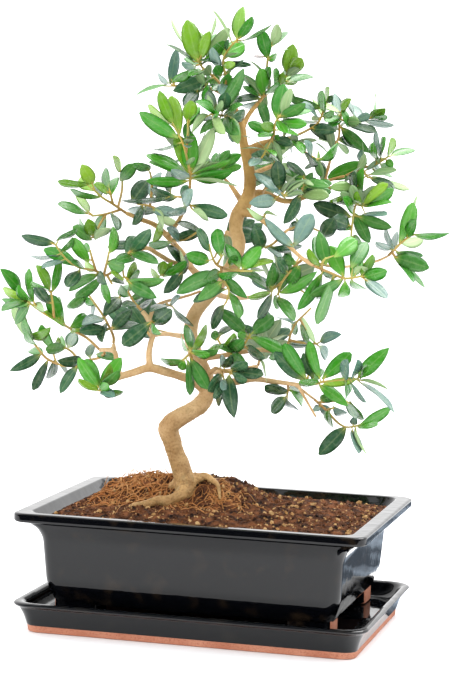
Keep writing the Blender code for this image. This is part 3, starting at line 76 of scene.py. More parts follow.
# %% The sheet
EYE = Vector((0.4251, -1.5854, 0.3702))
YAW, PITCH, ROLL = 0.2613, 0.0921, 0.026
SHEET_AWAY = 2182.6      # from the eye to the sheet, in units of the sheet
SHEET_MIDDLE = (225, 337.5)
UNIT = 0.000753          # metres for a unit of the sheet at the trunk
DEEP = 0.0015            # metres for each mark of depth
LOOK = Vector((-sin(YAW) * cos(PITCH), cos(YAW) * cos(PITCH), -sin(PITCH)))
LEVEL = Vector((cos(YAW), sin(YAW), 0))
SIDE = LEVEL * cos(ROLL) + LEVEL.cross(LOOK) * sin(ROLL)
RISE = SIDE.cross(LOOK)
BACK = Vector((-sin(YAW), cos(YAW), 0))


def sight(across, down):
    """The direction from the eye through this square of the sheet."""
    return LOOK * SHEET_AWAY + SIDE * (across - SHEET_MIDDLE[0]) - RISE * (down - SHEET_MIDDLE[1])


def spot(across, down, depth):
    """The point seen through this square, so many marks of depth behind the pot's middle."""
    ray = sight(across, down)
    return EYE + ray * ((depth * DEEP - EYE.dot(BACK)) / ray.dot(BACK))
print("the middle of the sheet is at", [round(v, 3) for v in spot(*SHEET_MIDDLE, 0)])

# %% The camera at the eye
SENSOR = 36
SHEET_HIGH = 675

lens = bpy.data.cameras.new("camera")
lens.sensor_width = SENSOR
lens.lens = SHEET_AWAY / SHEET_HIGH * SENSOR
camera = bpy.data.objects.new("camera", lens)
camera.matrix_world = Matrix((SIDE, RISE, -LOOK)).transposed().to_4x4()
camera.location = EYE
bpy.context.scene.collection.objects.link(camera)
bpy.context.scene.camera = camera
print("lens of", round(lens.lens, 1), "mm")

# %% [markdown]
# ## Light
# The plant stands in a bright white studio with a white table. A white world gives the even light,
# and two area lights add the direction: one above and behind on the right, a weak one in front on
# the left. A glossy black pot in a plain white room would look grey all over, so two cards stand
# on the stage for the glaze alone, as in a product studio: painted reflections, a dark one for the
# lip under the rim and a grey-blue one for the right end wall. A single lamp would be simpler, but
# it would give hard shadows that this kind of picture doesn't have.

# %% The white room
WORLD_STRENGTH = 1.9

world = bpy.data.worlds.new("studio")
world.use_nodes = True
world.node_tree.nodes["Background"].inputs["Color"].default_value = (1, 1, 1, 1)
world.node_tree.nodes["Background"].inputs["Strength"].default_value = WORLD_STRENGTH
bpy.context.scene.world = world
bpy.context.scene.view_settings.view_transform = "Standard"

# %% The soft lamps
# Each lamp: where it is, what it points at, its width and its power in watts.
LAMPS = {
    "overhead": ((0.5, 0.5, 1.5), (0, 0, 0.2), 1.2, 30),
    "front_left": ((-1.1, -1.3, 1.0), (0, 0, 0.2), 0.9, 12),
}


def add_lamp(name, place, target, width, power):
    """A square area light."""
    data = bpy.data.lights.new(name, "AREA")
    data.size = width
    data.energy = power
    lamp = bpy.data.objects.new(name, data)
    lamp.location = place
    lamp.rotation_euler = (Vector(target) - Vector(place)).to_track_quat("-Z", "Y").to_euler()
    bpy.context.scene.collection.objects.link(lamp)


for name, facts in LAMPS.items():
    add_lamp(name, *facts)
print(len(LAMPS), "soft lamps")

# %% [markdown]
# ## Small helpers for nodes and meshes
# Materials and Geometry Nodes are both trees of nodes. One helper adds a node and wires it in the
# same line, so a tree reads from top to bottom as it works. A second set makes meshes from lists
# of points and takes up what modifiers make of them.

# %% Wiring nodes
def wire(tree, kind, inputs=None, **settings):
    """Adds a node; each input gets a number, a colour or another node's output."""
    made = tree.nodes.new(kind)
    for name, value in settings.items():
        setattr(made, name, value)
    for key, value in (inputs or {}).items():
        if isinstance(value, bpy.types.NodeSocket):
            tree.links.new(value, made.inputs[key])
        else:
            made.inputs[key].default_value = value
    return made


ROOM_SHARE = 0.75        # the bright room makes things look lighter than they are


def paint(red, green, blue, share=ROOM_SHARE):
    """The linear colour of a thing that looks like these screen values in the bright room."""
    return tuple((value / 255) ** 2.2 * share for value in (red, green, blue)) + (1,)


MIX_FACTOR, MIX_A, MIX_B, MIXED = 0, 6, 7, 2


def blended(tree, factor, first, second):
    """The output of a colour mix."""
    inputs = {MIX_FACTOR: factor, MIX_A: first, MIX_B: second}
    return wire(tree, "ShaderNodeMix", inputs, data_type="RGBA").outputs[MIXED]


def maths(tree, operation, first, second=0.0):
    """The output of a sum, for finishes and for shapes."""
    return wire(tree, "ShaderNodeMath", {0: first, 1: second}, operation=operation).outputs[0]


def mark(tree, key, output="Fac"):
    """What the mesh carries under this name, for its finish."""
    return wire(tree, "ShaderNodeAttribute", attribute_name=key).outputs[output]


def ramp(tree, factor, low, high, out_low=0.0, out_high=1.0):
    """The factor mapped from low..high to out_low..out_high, and held at the ends."""
    inputs = {"Value": factor, "From Min": low, "From Max": high,
              "To Min": out_low, "To Max": out_high}
    return wire(tree, "ShaderNodeMapRange", inputs).outputs["Result"]


def grain(tree, scale, detail=3, stretch=None):
    """Noise that is fixed to the object, with grains of about 1 / scale metres."""
    place = wire(tree, "ShaderNodeTexCoord").outputs["Object"]
    if stretch:
        inputs = {"Vector": place, "Scale": stretch}
        place = wire(tree, "ShaderNodeMapping", inputs).outputs["Vector"]
    inputs = {"Vector": place, "Scale": scale, "Detail": detail}
    return wire(tree, "ShaderNodeTexNoise", inputs).outputs["Fac"]


def bumped(tree, height, strength, distance, under=None):
    """A relief of this height in metres; under is a relief that it lies on."""
    inputs = {"Height": height, "Strength": strength, "Distance": distance}
    if under:
        inputs["Normal"] = under
    return wire(tree, "ShaderNodeBump", inputs).outputs["Normal"]


def new_finish(name):
    """A material, its tree and its shader."""
    material = bpy.data.materials.new(name)
    material.use_nodes = True
    return material, material.node_tree, material.node_tree.nodes["Principled BSDF"]


def feed(tree, shader, **outputs):
    """Wires outputs, or sets plain values, on the shader; base_color stands for Base Color."""
    for name, value in outputs.items():
        socket = shader.inputs[name.replace("_", " ").title().replace("Ior", "IOR")]
        if isinstance(value, bpy.types.NodeSocket):
            tree.links.new(value, socket)
        else:
            socket.default_value = value


# %% Making and taking up meshes
def plain(name, verts, faces, edges=()):
    """An object of these points, faces and edges, in the scene."""
    mesh = bpy.data.meshes.new(name)
    mesh.from_pydata([tuple(v) for v in verts], edges, faces)
    made = bpy.data.objects.new(name, mesh)
    bpy.context.scene.collection.objects.link(made)
    return made


def taken_up(item, **settings):
    """The mesh that the item's modifiers make of it."""
    bpy.context.view_layer.update()
    graph = bpy.context.evaluated_depsgraph_get()
    return bpy.data.meshes.new_from_object(item.evaluated_get(graph), depsgraph=graph, **settings)


def smooth(item):
    """Shades every face smoothly."""
    for face in item.data.polygons:
        face.use_smooth = True


# %% The floor
FLOOR_HALF = 9.0

material, tree, shader = new_finish("pale_table")
table_tone = blended(tree, grain(tree, 3), paint(240, 241, 244, 1), paint(244, 244, 245, 1))
feed(tree, shader, base_color=table_tone, roughness=0.55)
corners = [(FLOOR_HALF * x, FLOOR_HALF * y, 0) for x, y in ((-1, -1), (1, -1), (1, 1), (-1, 1))]
floor = plain("floor", corners, [(0, 1, 2, 3)])
floor.data.materials.append(material)
print("a white table of", 2 * FLOOR_HALF, "m")

# %% Two cards that only the glaze sees: painted reflections
CARD_ALONG, CARD_HIGH, CARD_AHEAD = 1.2, 0.75, 0.42      # half length, height, how far in front
SLATE_FROM, SLATE_TO = (0.125, 0.06), (0.42, 0.75)       # corners of the card on the table behind
CARD_LIFT = 0.001        # so that no card lies in the table


def add_reflection_card(name, corners, first, second, patches):
    """A card in two tones that only paints a reflection in the glaze; the camera doesn't see it, and it
    takes no light from the plant.
    """
    material, tree, shader = new_finish(name)
    tone = ramp(tree, grain(tree, patches, 3), 0.42, 0.6)
    feed(tree, shader, base_color=blended(tree, tone, paint(*first), paint(*second)), roughness=0.9)
    card = plain(name, corners, [(0, 1, 2, 3)])
    card.data.materials.append(material)
    for part in ("camera", "diffuse", "shadow", "transmission"):
        setattr(card, "visible_" + part, False)


# The dark card paints a dark reflection on the lip under the rim, the slate card a grey-blue reflection
# on the right end wall.
sides = ((-1, CARD_LIFT), (-1, CARD_HIGH), (1, CARD_HIGH), (1, CARD_LIFT))
add_reflection_card("dark_card", [(side * CARD_ALONG, -CARD_AHEAD, high) for side, high in sides],
         (8, 8, 9), (12, 12, 13), 3)
(x0, y0), (x1, y1) = SLATE_FROM, SLATE_TO
add_reflection_card("slate_card", [(x, y, CARD_LIFT) for x, y in ((x0, y0), (x1, y0), (x1, y1), (x0, y1))],
         (44, 58, 72), (150, 164, 180), 14)
print("two cards stand for the glaze")

# %% [markdown]
# ## Glaze and clay
# The pot and the tray are red earthenware. The glaze is black, thick and very smooth, so it shows
# almost only what it mirrors: white from the room and the table, dark from the tray, and the painted
# reflections of the two cards, dark on the lip and grey-blue on the right end wall. It breaks to a
# brown tone where it ran thin. Its surface is never quite flat, so the mirror image is wavy. A dark
# base with a low roughness and two sizes of bump gives that; the glaze's own finish paints no
# reflection.

# %% The black glaze
GLAZE_WAVES, GLAZE_PITS = 38, 420


def make_glaze(name, deep, thin):
    """A glaze with this deep colour, and this one where it ran thin."""
    material, tree, shader = new_finish(name)
    thin_spots = ramp(tree, grain(tree, 60, 5), 0.56, 0.74)
    waves = bumped(tree, grain(tree, GLAZE_WAVES, 2), 0.22, 0.0024)
    pits = bumped(tree, grain(tree, GLAZE_PITS, 2), 0.05, 0.0003, waves)
    feed(tree, shader, base_color=blended(tree, thin_spots, paint(*deep), paint(*thin)),
         roughness=ramp(tree, grain(tree, 90, 4), 0.35, 0.75, 0.03, 0.10), normal=pits, ior=1.43)
    return material


pot_glaze = make_glaze("pot_glaze_black", (13, 14, 17), (40, 33, 26))
tray_glaze = make_glaze("tray_glaze_black", (15, 17, 20), (34, 32, 30))

# %% The bare clay
material, tree, shader = new_finish("terracotta")
patches = ramp(tree, grain(tree, 45, 5), 0.3, 0.7)
sand = ramp(tree, grain(tree, 1400, 2), 0.52, 0.66)
clay_colour = blended(tree, patches, paint(180, 110, 82), paint(204, 140, 112))
feed(tree, shader, base_color=blended(tree, sand, clay_colour, paint(160, 94, 70)),
     roughness=ramp(tree, sand, 0, 1, 0.8, 0.95), normal=bumped(tree, sand, 0.4, 0.0002))
clay = material
print("glazes and clay are mixed")

# %% [markdown]
# ## Pot and tray
# Both were pressed in moulds: every level is a rounded rectangle, from the foot to the rim and
# down again inside. So each is a stack of such rings. Where two slopes meet, the glaze leaves a
# soft edge, and the stack rounds each meeting off with a small curve. A bevel would do the same,
# but rings give an even wall and clean corners.

# %% Sizes of the pot and the tray
TRAY_RIM = (0.1345, 0.0945)      # half sizes
TRAY_FOOT = (0.1246, 0.0843)
TRAY_HIGH = 0.0235
TRAY_FLOOR = 0.0120
TRAY_BAND = 0.0053               # height of the foot band, which has no glaze
POT_RIM = (0.1325, 0.0975)
POT_MOUTH = (0.1200, 0.0890)
POT_SHOULDER = (0.1142, 0.0842)
POT_KNEE = (0.1116, 0.0816)
POT_BASE = (0.1068, 0.0768)
POT_INSIDE = (0.1040, 0.0740)
POT_KNEE_HIGH = 0.0380           # below this the walls lean in to the base
POT_COVE = (0.0715, 0.0785)      # heights between which the wall curves out under the rim
POT_HIGH = 0.0910
POT_LIP = 0.0068
POT_BODY_FROM = 0.0225
POT_WALL = 0.0068
POT_FLOOR = 0.0300
FOOT_LONG, FOOT_DEEP = 0.034, 0.028
FOOT_INSET = 0.0012              # from the edge of the base
DRAIN_RADIUS = 0.009
DRAINS = ((-0.055, 0.0), (0.055, 0.0))
AIR = 0.0003                     # between pieces that rest on one another


# %% Rings and how they stack
CORNER_STEPS = 12
CURVE_STEPS = 5


def inset(half, by):
    """Both half sizes less this."""
    return half[0] - by, half[1] - by


def solid(name, verts, faces):
    """A closed body whose faces all point outwards."""
    made = plain(name, verts, faces)
    work = bmesh.new()
    work.from_mesh(made.data)
    bmesh.ops.recalc_face_normals(work, faces=work.faces)
    if work.calc_volume(signed=True) < 0:
        bmesh.ops.reverse_faces(work, faces=work.faces)
    work.to_mesh(made.data)
    work.free()
    return made


def rounded(half, corner, high, steps=CORNER_STEPS):
    """A rounded rectangle at this height, once round."""
    points = []
    for k in range(4):
        cx = (half[0] - corner) * (1, -1, -1, 1)[k]
        cy = (half[1] - corner) * (1, 1, -1, -1)[k]
        for i in range(steps + 1):
            turn = (k + i / steps) * pi / 2
            points.append(Vector((cx + corner * cos(turn), cy + corner * sin(turn), high)))
    return points


def softened(levels):
    """The levels (half x, half y, corner, height, softness) with a curve where two slopes meet."""
    made = []
    for i, (*here, soft) in enumerate(levels):
        if not soft or i in (0, len(levels) - 1):
            made.append(here)
            continue
        here = np.array(here)
        before, after = np.array(levels[i - 1][:4]), np.array(levels[i + 1][:4])
        back, ahead = (hypot(*(other - here)[[0, 3]]) for other in (before, after))
        start = here + (before - here) * min(soft / back, 0.48)
        end = here + (after - here) * min(soft / ahead, 0.48)
        for k in range(CURVE_STEPS + 1):
            share = k / CURVE_STEPS
            made.append(start * (1 - share) ** 2 + here * 2 * share * (1 - share) + end * share ** 2)
    return made


def stacked(name, rings):
    """A closed body from rings of equal length, the first and the last filled."""
    verts = [point for ring in rings for point in ring]
    n = len(rings[0])
    faces = [(i * n + k, i * n + (k + 1) % n, (i + 1) * n + (k + 1) % n, (i + 1) * n + k)
             for i in range(len(rings) - 1) for k in range(n)]
    faces.append(tuple(reversed(range(n))))
    faces.append(tuple(range(len(verts) - n, len(verts))))
    return solid(name, verts, faces)


def moulded(name, levels):
    """A body from its levels, with every bend softened."""
    rings = [rounded((x, y), corner, high) for x, y, corner, high in softened(levels)]
    made = stacked(name, rings)
    print(name, "has", len(rings), "rings")
    return made


# %% Joining, and edges that catch the light
SHARP = radians(38)


def joined(base, others, operation="UNION"):
    """The base with the others added or cut away, as a plain mesh; the others are removed."""
    group = bpy.data.collections.new("helpers")
    bpy.context.scene.collection.children.link(group)
    for other in others:
        bpy.context.scene.collection.objects.unlink(other)
        group.objects.link(other)
    change = base.modifiers.new("join", "BOOLEAN")
    change.operation = operation
    change.operand_type = "COLLECTION"
    change.collection = group
    change.solver = "EXACT"
    mesh = taken_up(base)
    base.modifiers.clear()
    base.data = mesh
    for other in others:
        bpy.data.objects.remove(other)
    bpy.data.collections.remove(group)
    return base


def polished(item, materials, pick):
    """Smooth faces with true edges; pick(face) says which material a face has."""
    mesh = item.data
    mesh.materials.clear()
    for material in materials:
        mesh.materials.append(material)
    for face in mesh.polygons:
        face.material_index = pick(face)
    smooth(item)
    mesh.set_sharp_from_angle(angle=SHARP)
    even = item.modifiers.new("even", "WEIGHTED_NORMAL")
    even.keep_sharp = True
    even.weight = 100


# %% The drip tray
def level(half, by, corner, high, soft):
    """One ring: the half sizes less by, the corner's radius, the height, how soft the bend is."""
    return (*inset(half, by), corner, high, soft)


tray = moulded("drip_tray_glazed", [
    level(TRAY_FOOT, 0.0016, 0.010, 0, 0),
    level(TRAY_FOOT, 0, 0.010, 0.0004, 0.0006),
    level(TRAY_FOOT, -0.0006, 0.010, TRAY_BAND, 0),
    level(TRAY_FOOT, -0.0009, 0.010, TRAY_BAND + 0.0004, 0.0006),
    level(TRAY_FOOT, -0.0030, 0.011, 0.0130, 0.004),
    level(TRAY_FOOT, -0.0062, 0.012, 0.0195, 0.0015),
    level(TRAY_RIM, 0.0012, 0.014, 0.0205, 0.0015),
    level(TRAY_RIM, 0, 0.015, 0.0220, 0.0014),
    level(TRAY_RIM, 0.0014, 0.015, TRAY_HIGH, 0.0016),
    level(TRAY_RIM, 0.0048, 0.016, TRAY_HIGH, 0.0018),
    level(TRAY_RIM, 0.0066, 0.016, 0.0220, 0.002),
    level(TRAY_RIM, 0.0086, 0.017, 0.0160, 0.003),
    level(TRAY_RIM, 0.0125, 0.016, TRAY_FLOOR, 0.002),
    level(TRAY_RIM, 0.0180, 0.014, TRAY_FLOOR - 0.0001, 0),
])
polished(tray, [tray_glaze, clay], lambda face: int(face.center.z < TRAY_BAND))
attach(tray, "root")
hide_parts("drip_tray")

# %% The pot's body
body = POT_BODY_FROM
pot = moulded("pot_glazed", [
    level(POT_BASE, 0.0020, 0.009, body, 0),
    level(POT_BASE, 0, 0.009, body + 0.0022, 0.002),
    level(POT_KNEE, 0, 0.009, POT_KNEE_HIGH, 0.004),
    level(POT_SHOULDER, 0, 0.009, POT_COVE[0], 0.004),
    level(POT_SHOULDER, -0.0034, 0.009, POT_COVE[1], 0.003),
    level(POT_RIM, 0.0065, 0.010, POT_HIGH - POT_LIP - 0.0004, 0.003),
    level(POT_RIM, 0.0006, 0.010, POT_HIGH - POT_LIP, 0.0012),
    level(POT_RIM, 0, 0.010, POT_HIGH - POT_LIP + 0.0012, 0.001),
    level(POT_RIM, 0, 0.010, POT_HIGH - 0.0010, 0.0012),
    level(POT_RIM, 0.0012, 0.010, POT_HIGH, 0.0014),
    level(POT_MOUTH, -0.0010, 0.011, POT_HIGH, 0.0012),
    level(POT_MOUTH, 0, 0.011, POT_HIGH - 0.0016, 0.001),
    level(POT_MOUTH, 0.0030, 0.010, 0.0845, 0.002),
    level(POT_SHOULDER, POT_WALL, 0.008, 0.0760, 0.002),
    level(POT_INSIDE, 0, 0.008, POT_FLOOR + 0.0030, 0.001),
    level(POT_INSIDE, 0.0030, 0.008, POT_FLOOR, 0),
])

# %% Its four feet and two drain holes
FOOT_CORNER, FOOT_CORNER_STEPS = 0.006, 5
SOLE_EDGE = 0.0012
DRAIN_SIDES = 32
THROUGH = 0.004          # how far a drain's cutter reaches past the floor's faces
FOOT_INTO = 0.0020       # how far a foot reaches into the body
BARE_END = 0.1           # outside this, the feet's ends have no glaze; their soles never have any
BARE_TOP = 0.0006        # how far up the body the clay may show
FACING = 0.7             # a face looks along an axis if its normal has this much of it


def foot_at(sx, sy):
    """The foot in the corner with these signs."""
    middle = Vector((sx * (POT_BASE[0] - FOOT_INSET - FOOT_LONG / 2),
                     sy * (POT_BASE[1] - FOOT_INSET - FOOT_DEEP / 2), 0))
    low = TRAY_FLOOR + AIR
    steps = [(SOLE_EDGE, low), (SOLE_EDGE * 0.3, low + SOLE_EDGE * 0.3), (0, low + SOLE_EDGE),
             (0, body + FOOT_INTO)]
    half = (FOOT_LONG / 2, FOOT_DEEP / 2)
    return stacked("foot", [[middle + p for p in rounded(inset(half, by), FOOT_CORNER, high,
                                                         FOOT_CORNER_STEPS)] for by, high in steps])


def drain_at(x, y):
    """The cutter of a drain hole."""
    turns = [k * 2 * pi / DRAIN_SIDES for k in range(DRAIN_SIDES)]
    rims = [[Vector((x + DRAIN_RADIUS * cos(turn), y + DRAIN_RADIUS * sin(turn), high))
             for turn in turns] for high in (body - THROUGH, POT_FLOOR + THROUGH)]
    return stacked("drain", rims)


joined(pot, [foot_at(sx, sy) for sx in (-1, 1) for sy in (-1, 1)])
joined(pot, [drain_at(x, y) for x, y in DRAINS], "DIFFERENCE")


# The feet keep the black glaze on all faces but their outer ends and soles: painted shade, for the front
# feet stand in shadow.
def bare(face):
    """Which finish this face of the pot has: 1 for bare clay; the feet's front faces keep the black
    glaze as painted shade.
    """
    end = abs(face.center.x) > BARE_END and abs(face.normal.y) < FACING
    return int(face.center.z < body + BARE_TOP and (end or face.normal.z < -FACING))


polished(pot, [pot_glaze, clay], bare)
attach(pot, "root")
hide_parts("pot")
print("the pot has", len(pot.data.polygons), "faces")

# %% [markdown]
# ## The tree's sketch
# These are the lines of the sketch: the trunk, the branches, and for each spray its twigs and its
# leaves. Each leaf has its own place, because the eye knows a tree by where its leaves are. A
# scatter over the branches would be shorter, but it would give some other tree.

# %% Trunk, branches and sprays
# The trunk from the root ball up: (across, down, depth, radius).
TRUNK = [
    (187, 497, 0, 11.5), (186, 484, 0, 11.5), (182, 471, 0, 10.4), (177, 456, -1, 9.7),
    (171, 439, -3, 10), (169, 427, -4, 10.6), (178, 418, -4, 10), (191, 411, -2, 9.2),
    (203, 402, 0, 8.8), (208, 389, 1, 8.2), (204, 372, 3, 8), (196, 355, 4, 7.7), (191, 338, 4, 7.5),
    (192, 321, 3, 7.4), (200, 306, 2, 7.2), (213, 291, 0, 7.2), (227, 274, -2, 7.2),
    (236, 257, -4, 7.1), (239, 243, -4, 7), (236, 230, -3, 7), (237, 217, -2, 7.3), (244, 205, 0, 7.6),
    (249, 192, 0, 6.7), (250, 178, 0, 6.2), (248, 164, 0, 5.7), (245, 151, 0, 5.1), (243, 138, 0, 4.4),
    (242, 127, 1, 3.6), (237, 112, 3, 2.8), (229, 98, 4, 2.3), (222, 87, 5, 1.8)
]
# The branches in the same way. The last six go back and carry the sprays behind the crown.
BRANCHES = [
    [(242, 130, 1, 3), (248, 116, 6, 2.6), (258, 103, 11, 2.2)],
    [(246, 152, 0, 4.6), (258, 146, 2, 4.4), (272, 142, 4, 3.8), (281, 140, 6, 3.2)],
    [(246, 201, 0, 6), (258, 193, 5, 4.2), (271, 196, 8, 3.4), (284, 201, 10, 2.9), (297, 200, 12, 2.7),
     (310, 195, 14, 2.5), (323, 190, 15, 2.3), (338, 186, 15, 2.1)],
    [(303, 198, 13, 2.4), (314, 187, 18, 2.1), (327, 181, 22, 1.9), (345, 176, 24, 1.7)],
    [(324, 182, 22, 2), (329, 165, 27, 1.9)],
    [(240, 212, -2, 5), (252, 215, -9, 3.2), (263, 221, -15, 2.6), (276, 233, -22, 2.4),
     (290, 247, -30, 2.2), (303, 259, -36, 2.1), (314, 266, -40, 1.9)],
    [(303, 259, -36, 2), (320, 264, -36, 1.8), (338, 267, -29, 1.7), (358, 265, -20, 1.6),
     (377, 261, -12, 1.5), (388, 256, -8, 1.4)],
    [(207, 391, 1, 6), (224, 384, -8, 4.5), (240, 381, -14, 3.8), (255, 379, -18, 3.2),
     (270, 381, -22, 2.8), (285, 383, -26, 2.5), (300, 385, -30, 2.2)],
    [(298, 385, -29, 2), (305, 398, -28, 1.6), (316, 417, -26, 1.4)],
    [(294, 384, -28, 2), (302, 390, -18, 1.7), (314, 399, -12, 1.6)],
    [(196, 356, 4, 5), (214, 357, 1, 3.1), (236, 353, -3, 2.7), (258, 350, -5, 2.6),
     (276, 351, -6, 2.3)],
    [(206, 389, 1, 6), (191, 380, -6, 4.9), (170, 373, -14, 4.5), (150, 368, -20, 4.6),
     (135, 372, -25, 4), (119, 377, -30, 3.6), (108, 382, -36, 2.6), (102, 387, -42, 1.9)],
    [(120, 377, -30, 3), (117, 364, -22, 2.7), (114, 351, -14, 2.6), (100, 350, -4, 2.4)],
    [(115, 354, -15, 2.4), (113.5, 344, -11, 2.1)],
    [(150, 369, -20, 4), (149, 354, -20, 3.2), (151, 342, -19, 3), (153, 334, -17, 2.8),
     (148, 319, -14, 2.8), (142, 311, -13, 2.4)],
    [(149, 321, -14, 2.4), (154, 308, -8, 2.1), (164, 302, -2, 1.9), (176, 299, 4, 1.8),
     (190, 295, 8, 1.7), (201, 291, 10, 1.5)],
    [(222, 281, -1, 6), (206, 279, 6, 4.4), (193, 270, 10, 3.8), (185, 257, 12, 3.5),
     (175, 245, 13, 3.3), (166, 235, 14, 3.2), (155, 225, 12, 2.8), (140, 219, 8, 2.6),
     (126, 213, 3, 2.3)],
    [(190, 267, 10, 3), (172, 262, 2, 2.7), (158, 254, -6, 2.6), (146, 248, -12, 2.4),
     (132, 254, -16, 2.1), (119, 265, -19, 1.9)],
    [(167, 236, 14, 2.8), (176, 225, 5, 2.4), (184, 210, -5, 2.2), (188, 198, -11, 2),
     (190, 186, -17, 1.8)],
    [(231, 268, -3, 3), (227, 269, -14, 2.1)],
    [(205, 374, 2, 3), (199, 365, -12, 2.1), (192, 358, -22, 1.8)],
    [(205, 376, 2, 3), (216, 368, -12, 2.3)],
    [(236, 257, -4, 4), (240, 250, 9, 3.2), (238, 240, 20, 2.8), (226, 232, 30, 2.4)],
    [(244, 205, 0, 4), (238, 196, 10, 3), (230, 184, 22, 2.5)],
    [(250, 178, 0, 4), (258, 172, 11, 2.9), (272, 166, 23, 2.4)],
    [(213, 291, 0, 4), (222, 296, 12, 3), (240, 298, 23, 2.5), (262, 296, 32, 2.2)],
    [(191, 338, 4, 4), (180, 336, 14, 3), (166, 334, 24, 2.5), (150, 336, 32, 2.2)],
    [(204, 372, 3, 4), (214, 372, 14, 3), (236, 370, 25, 2.5), (258, 366, 32, 2.1)]
]
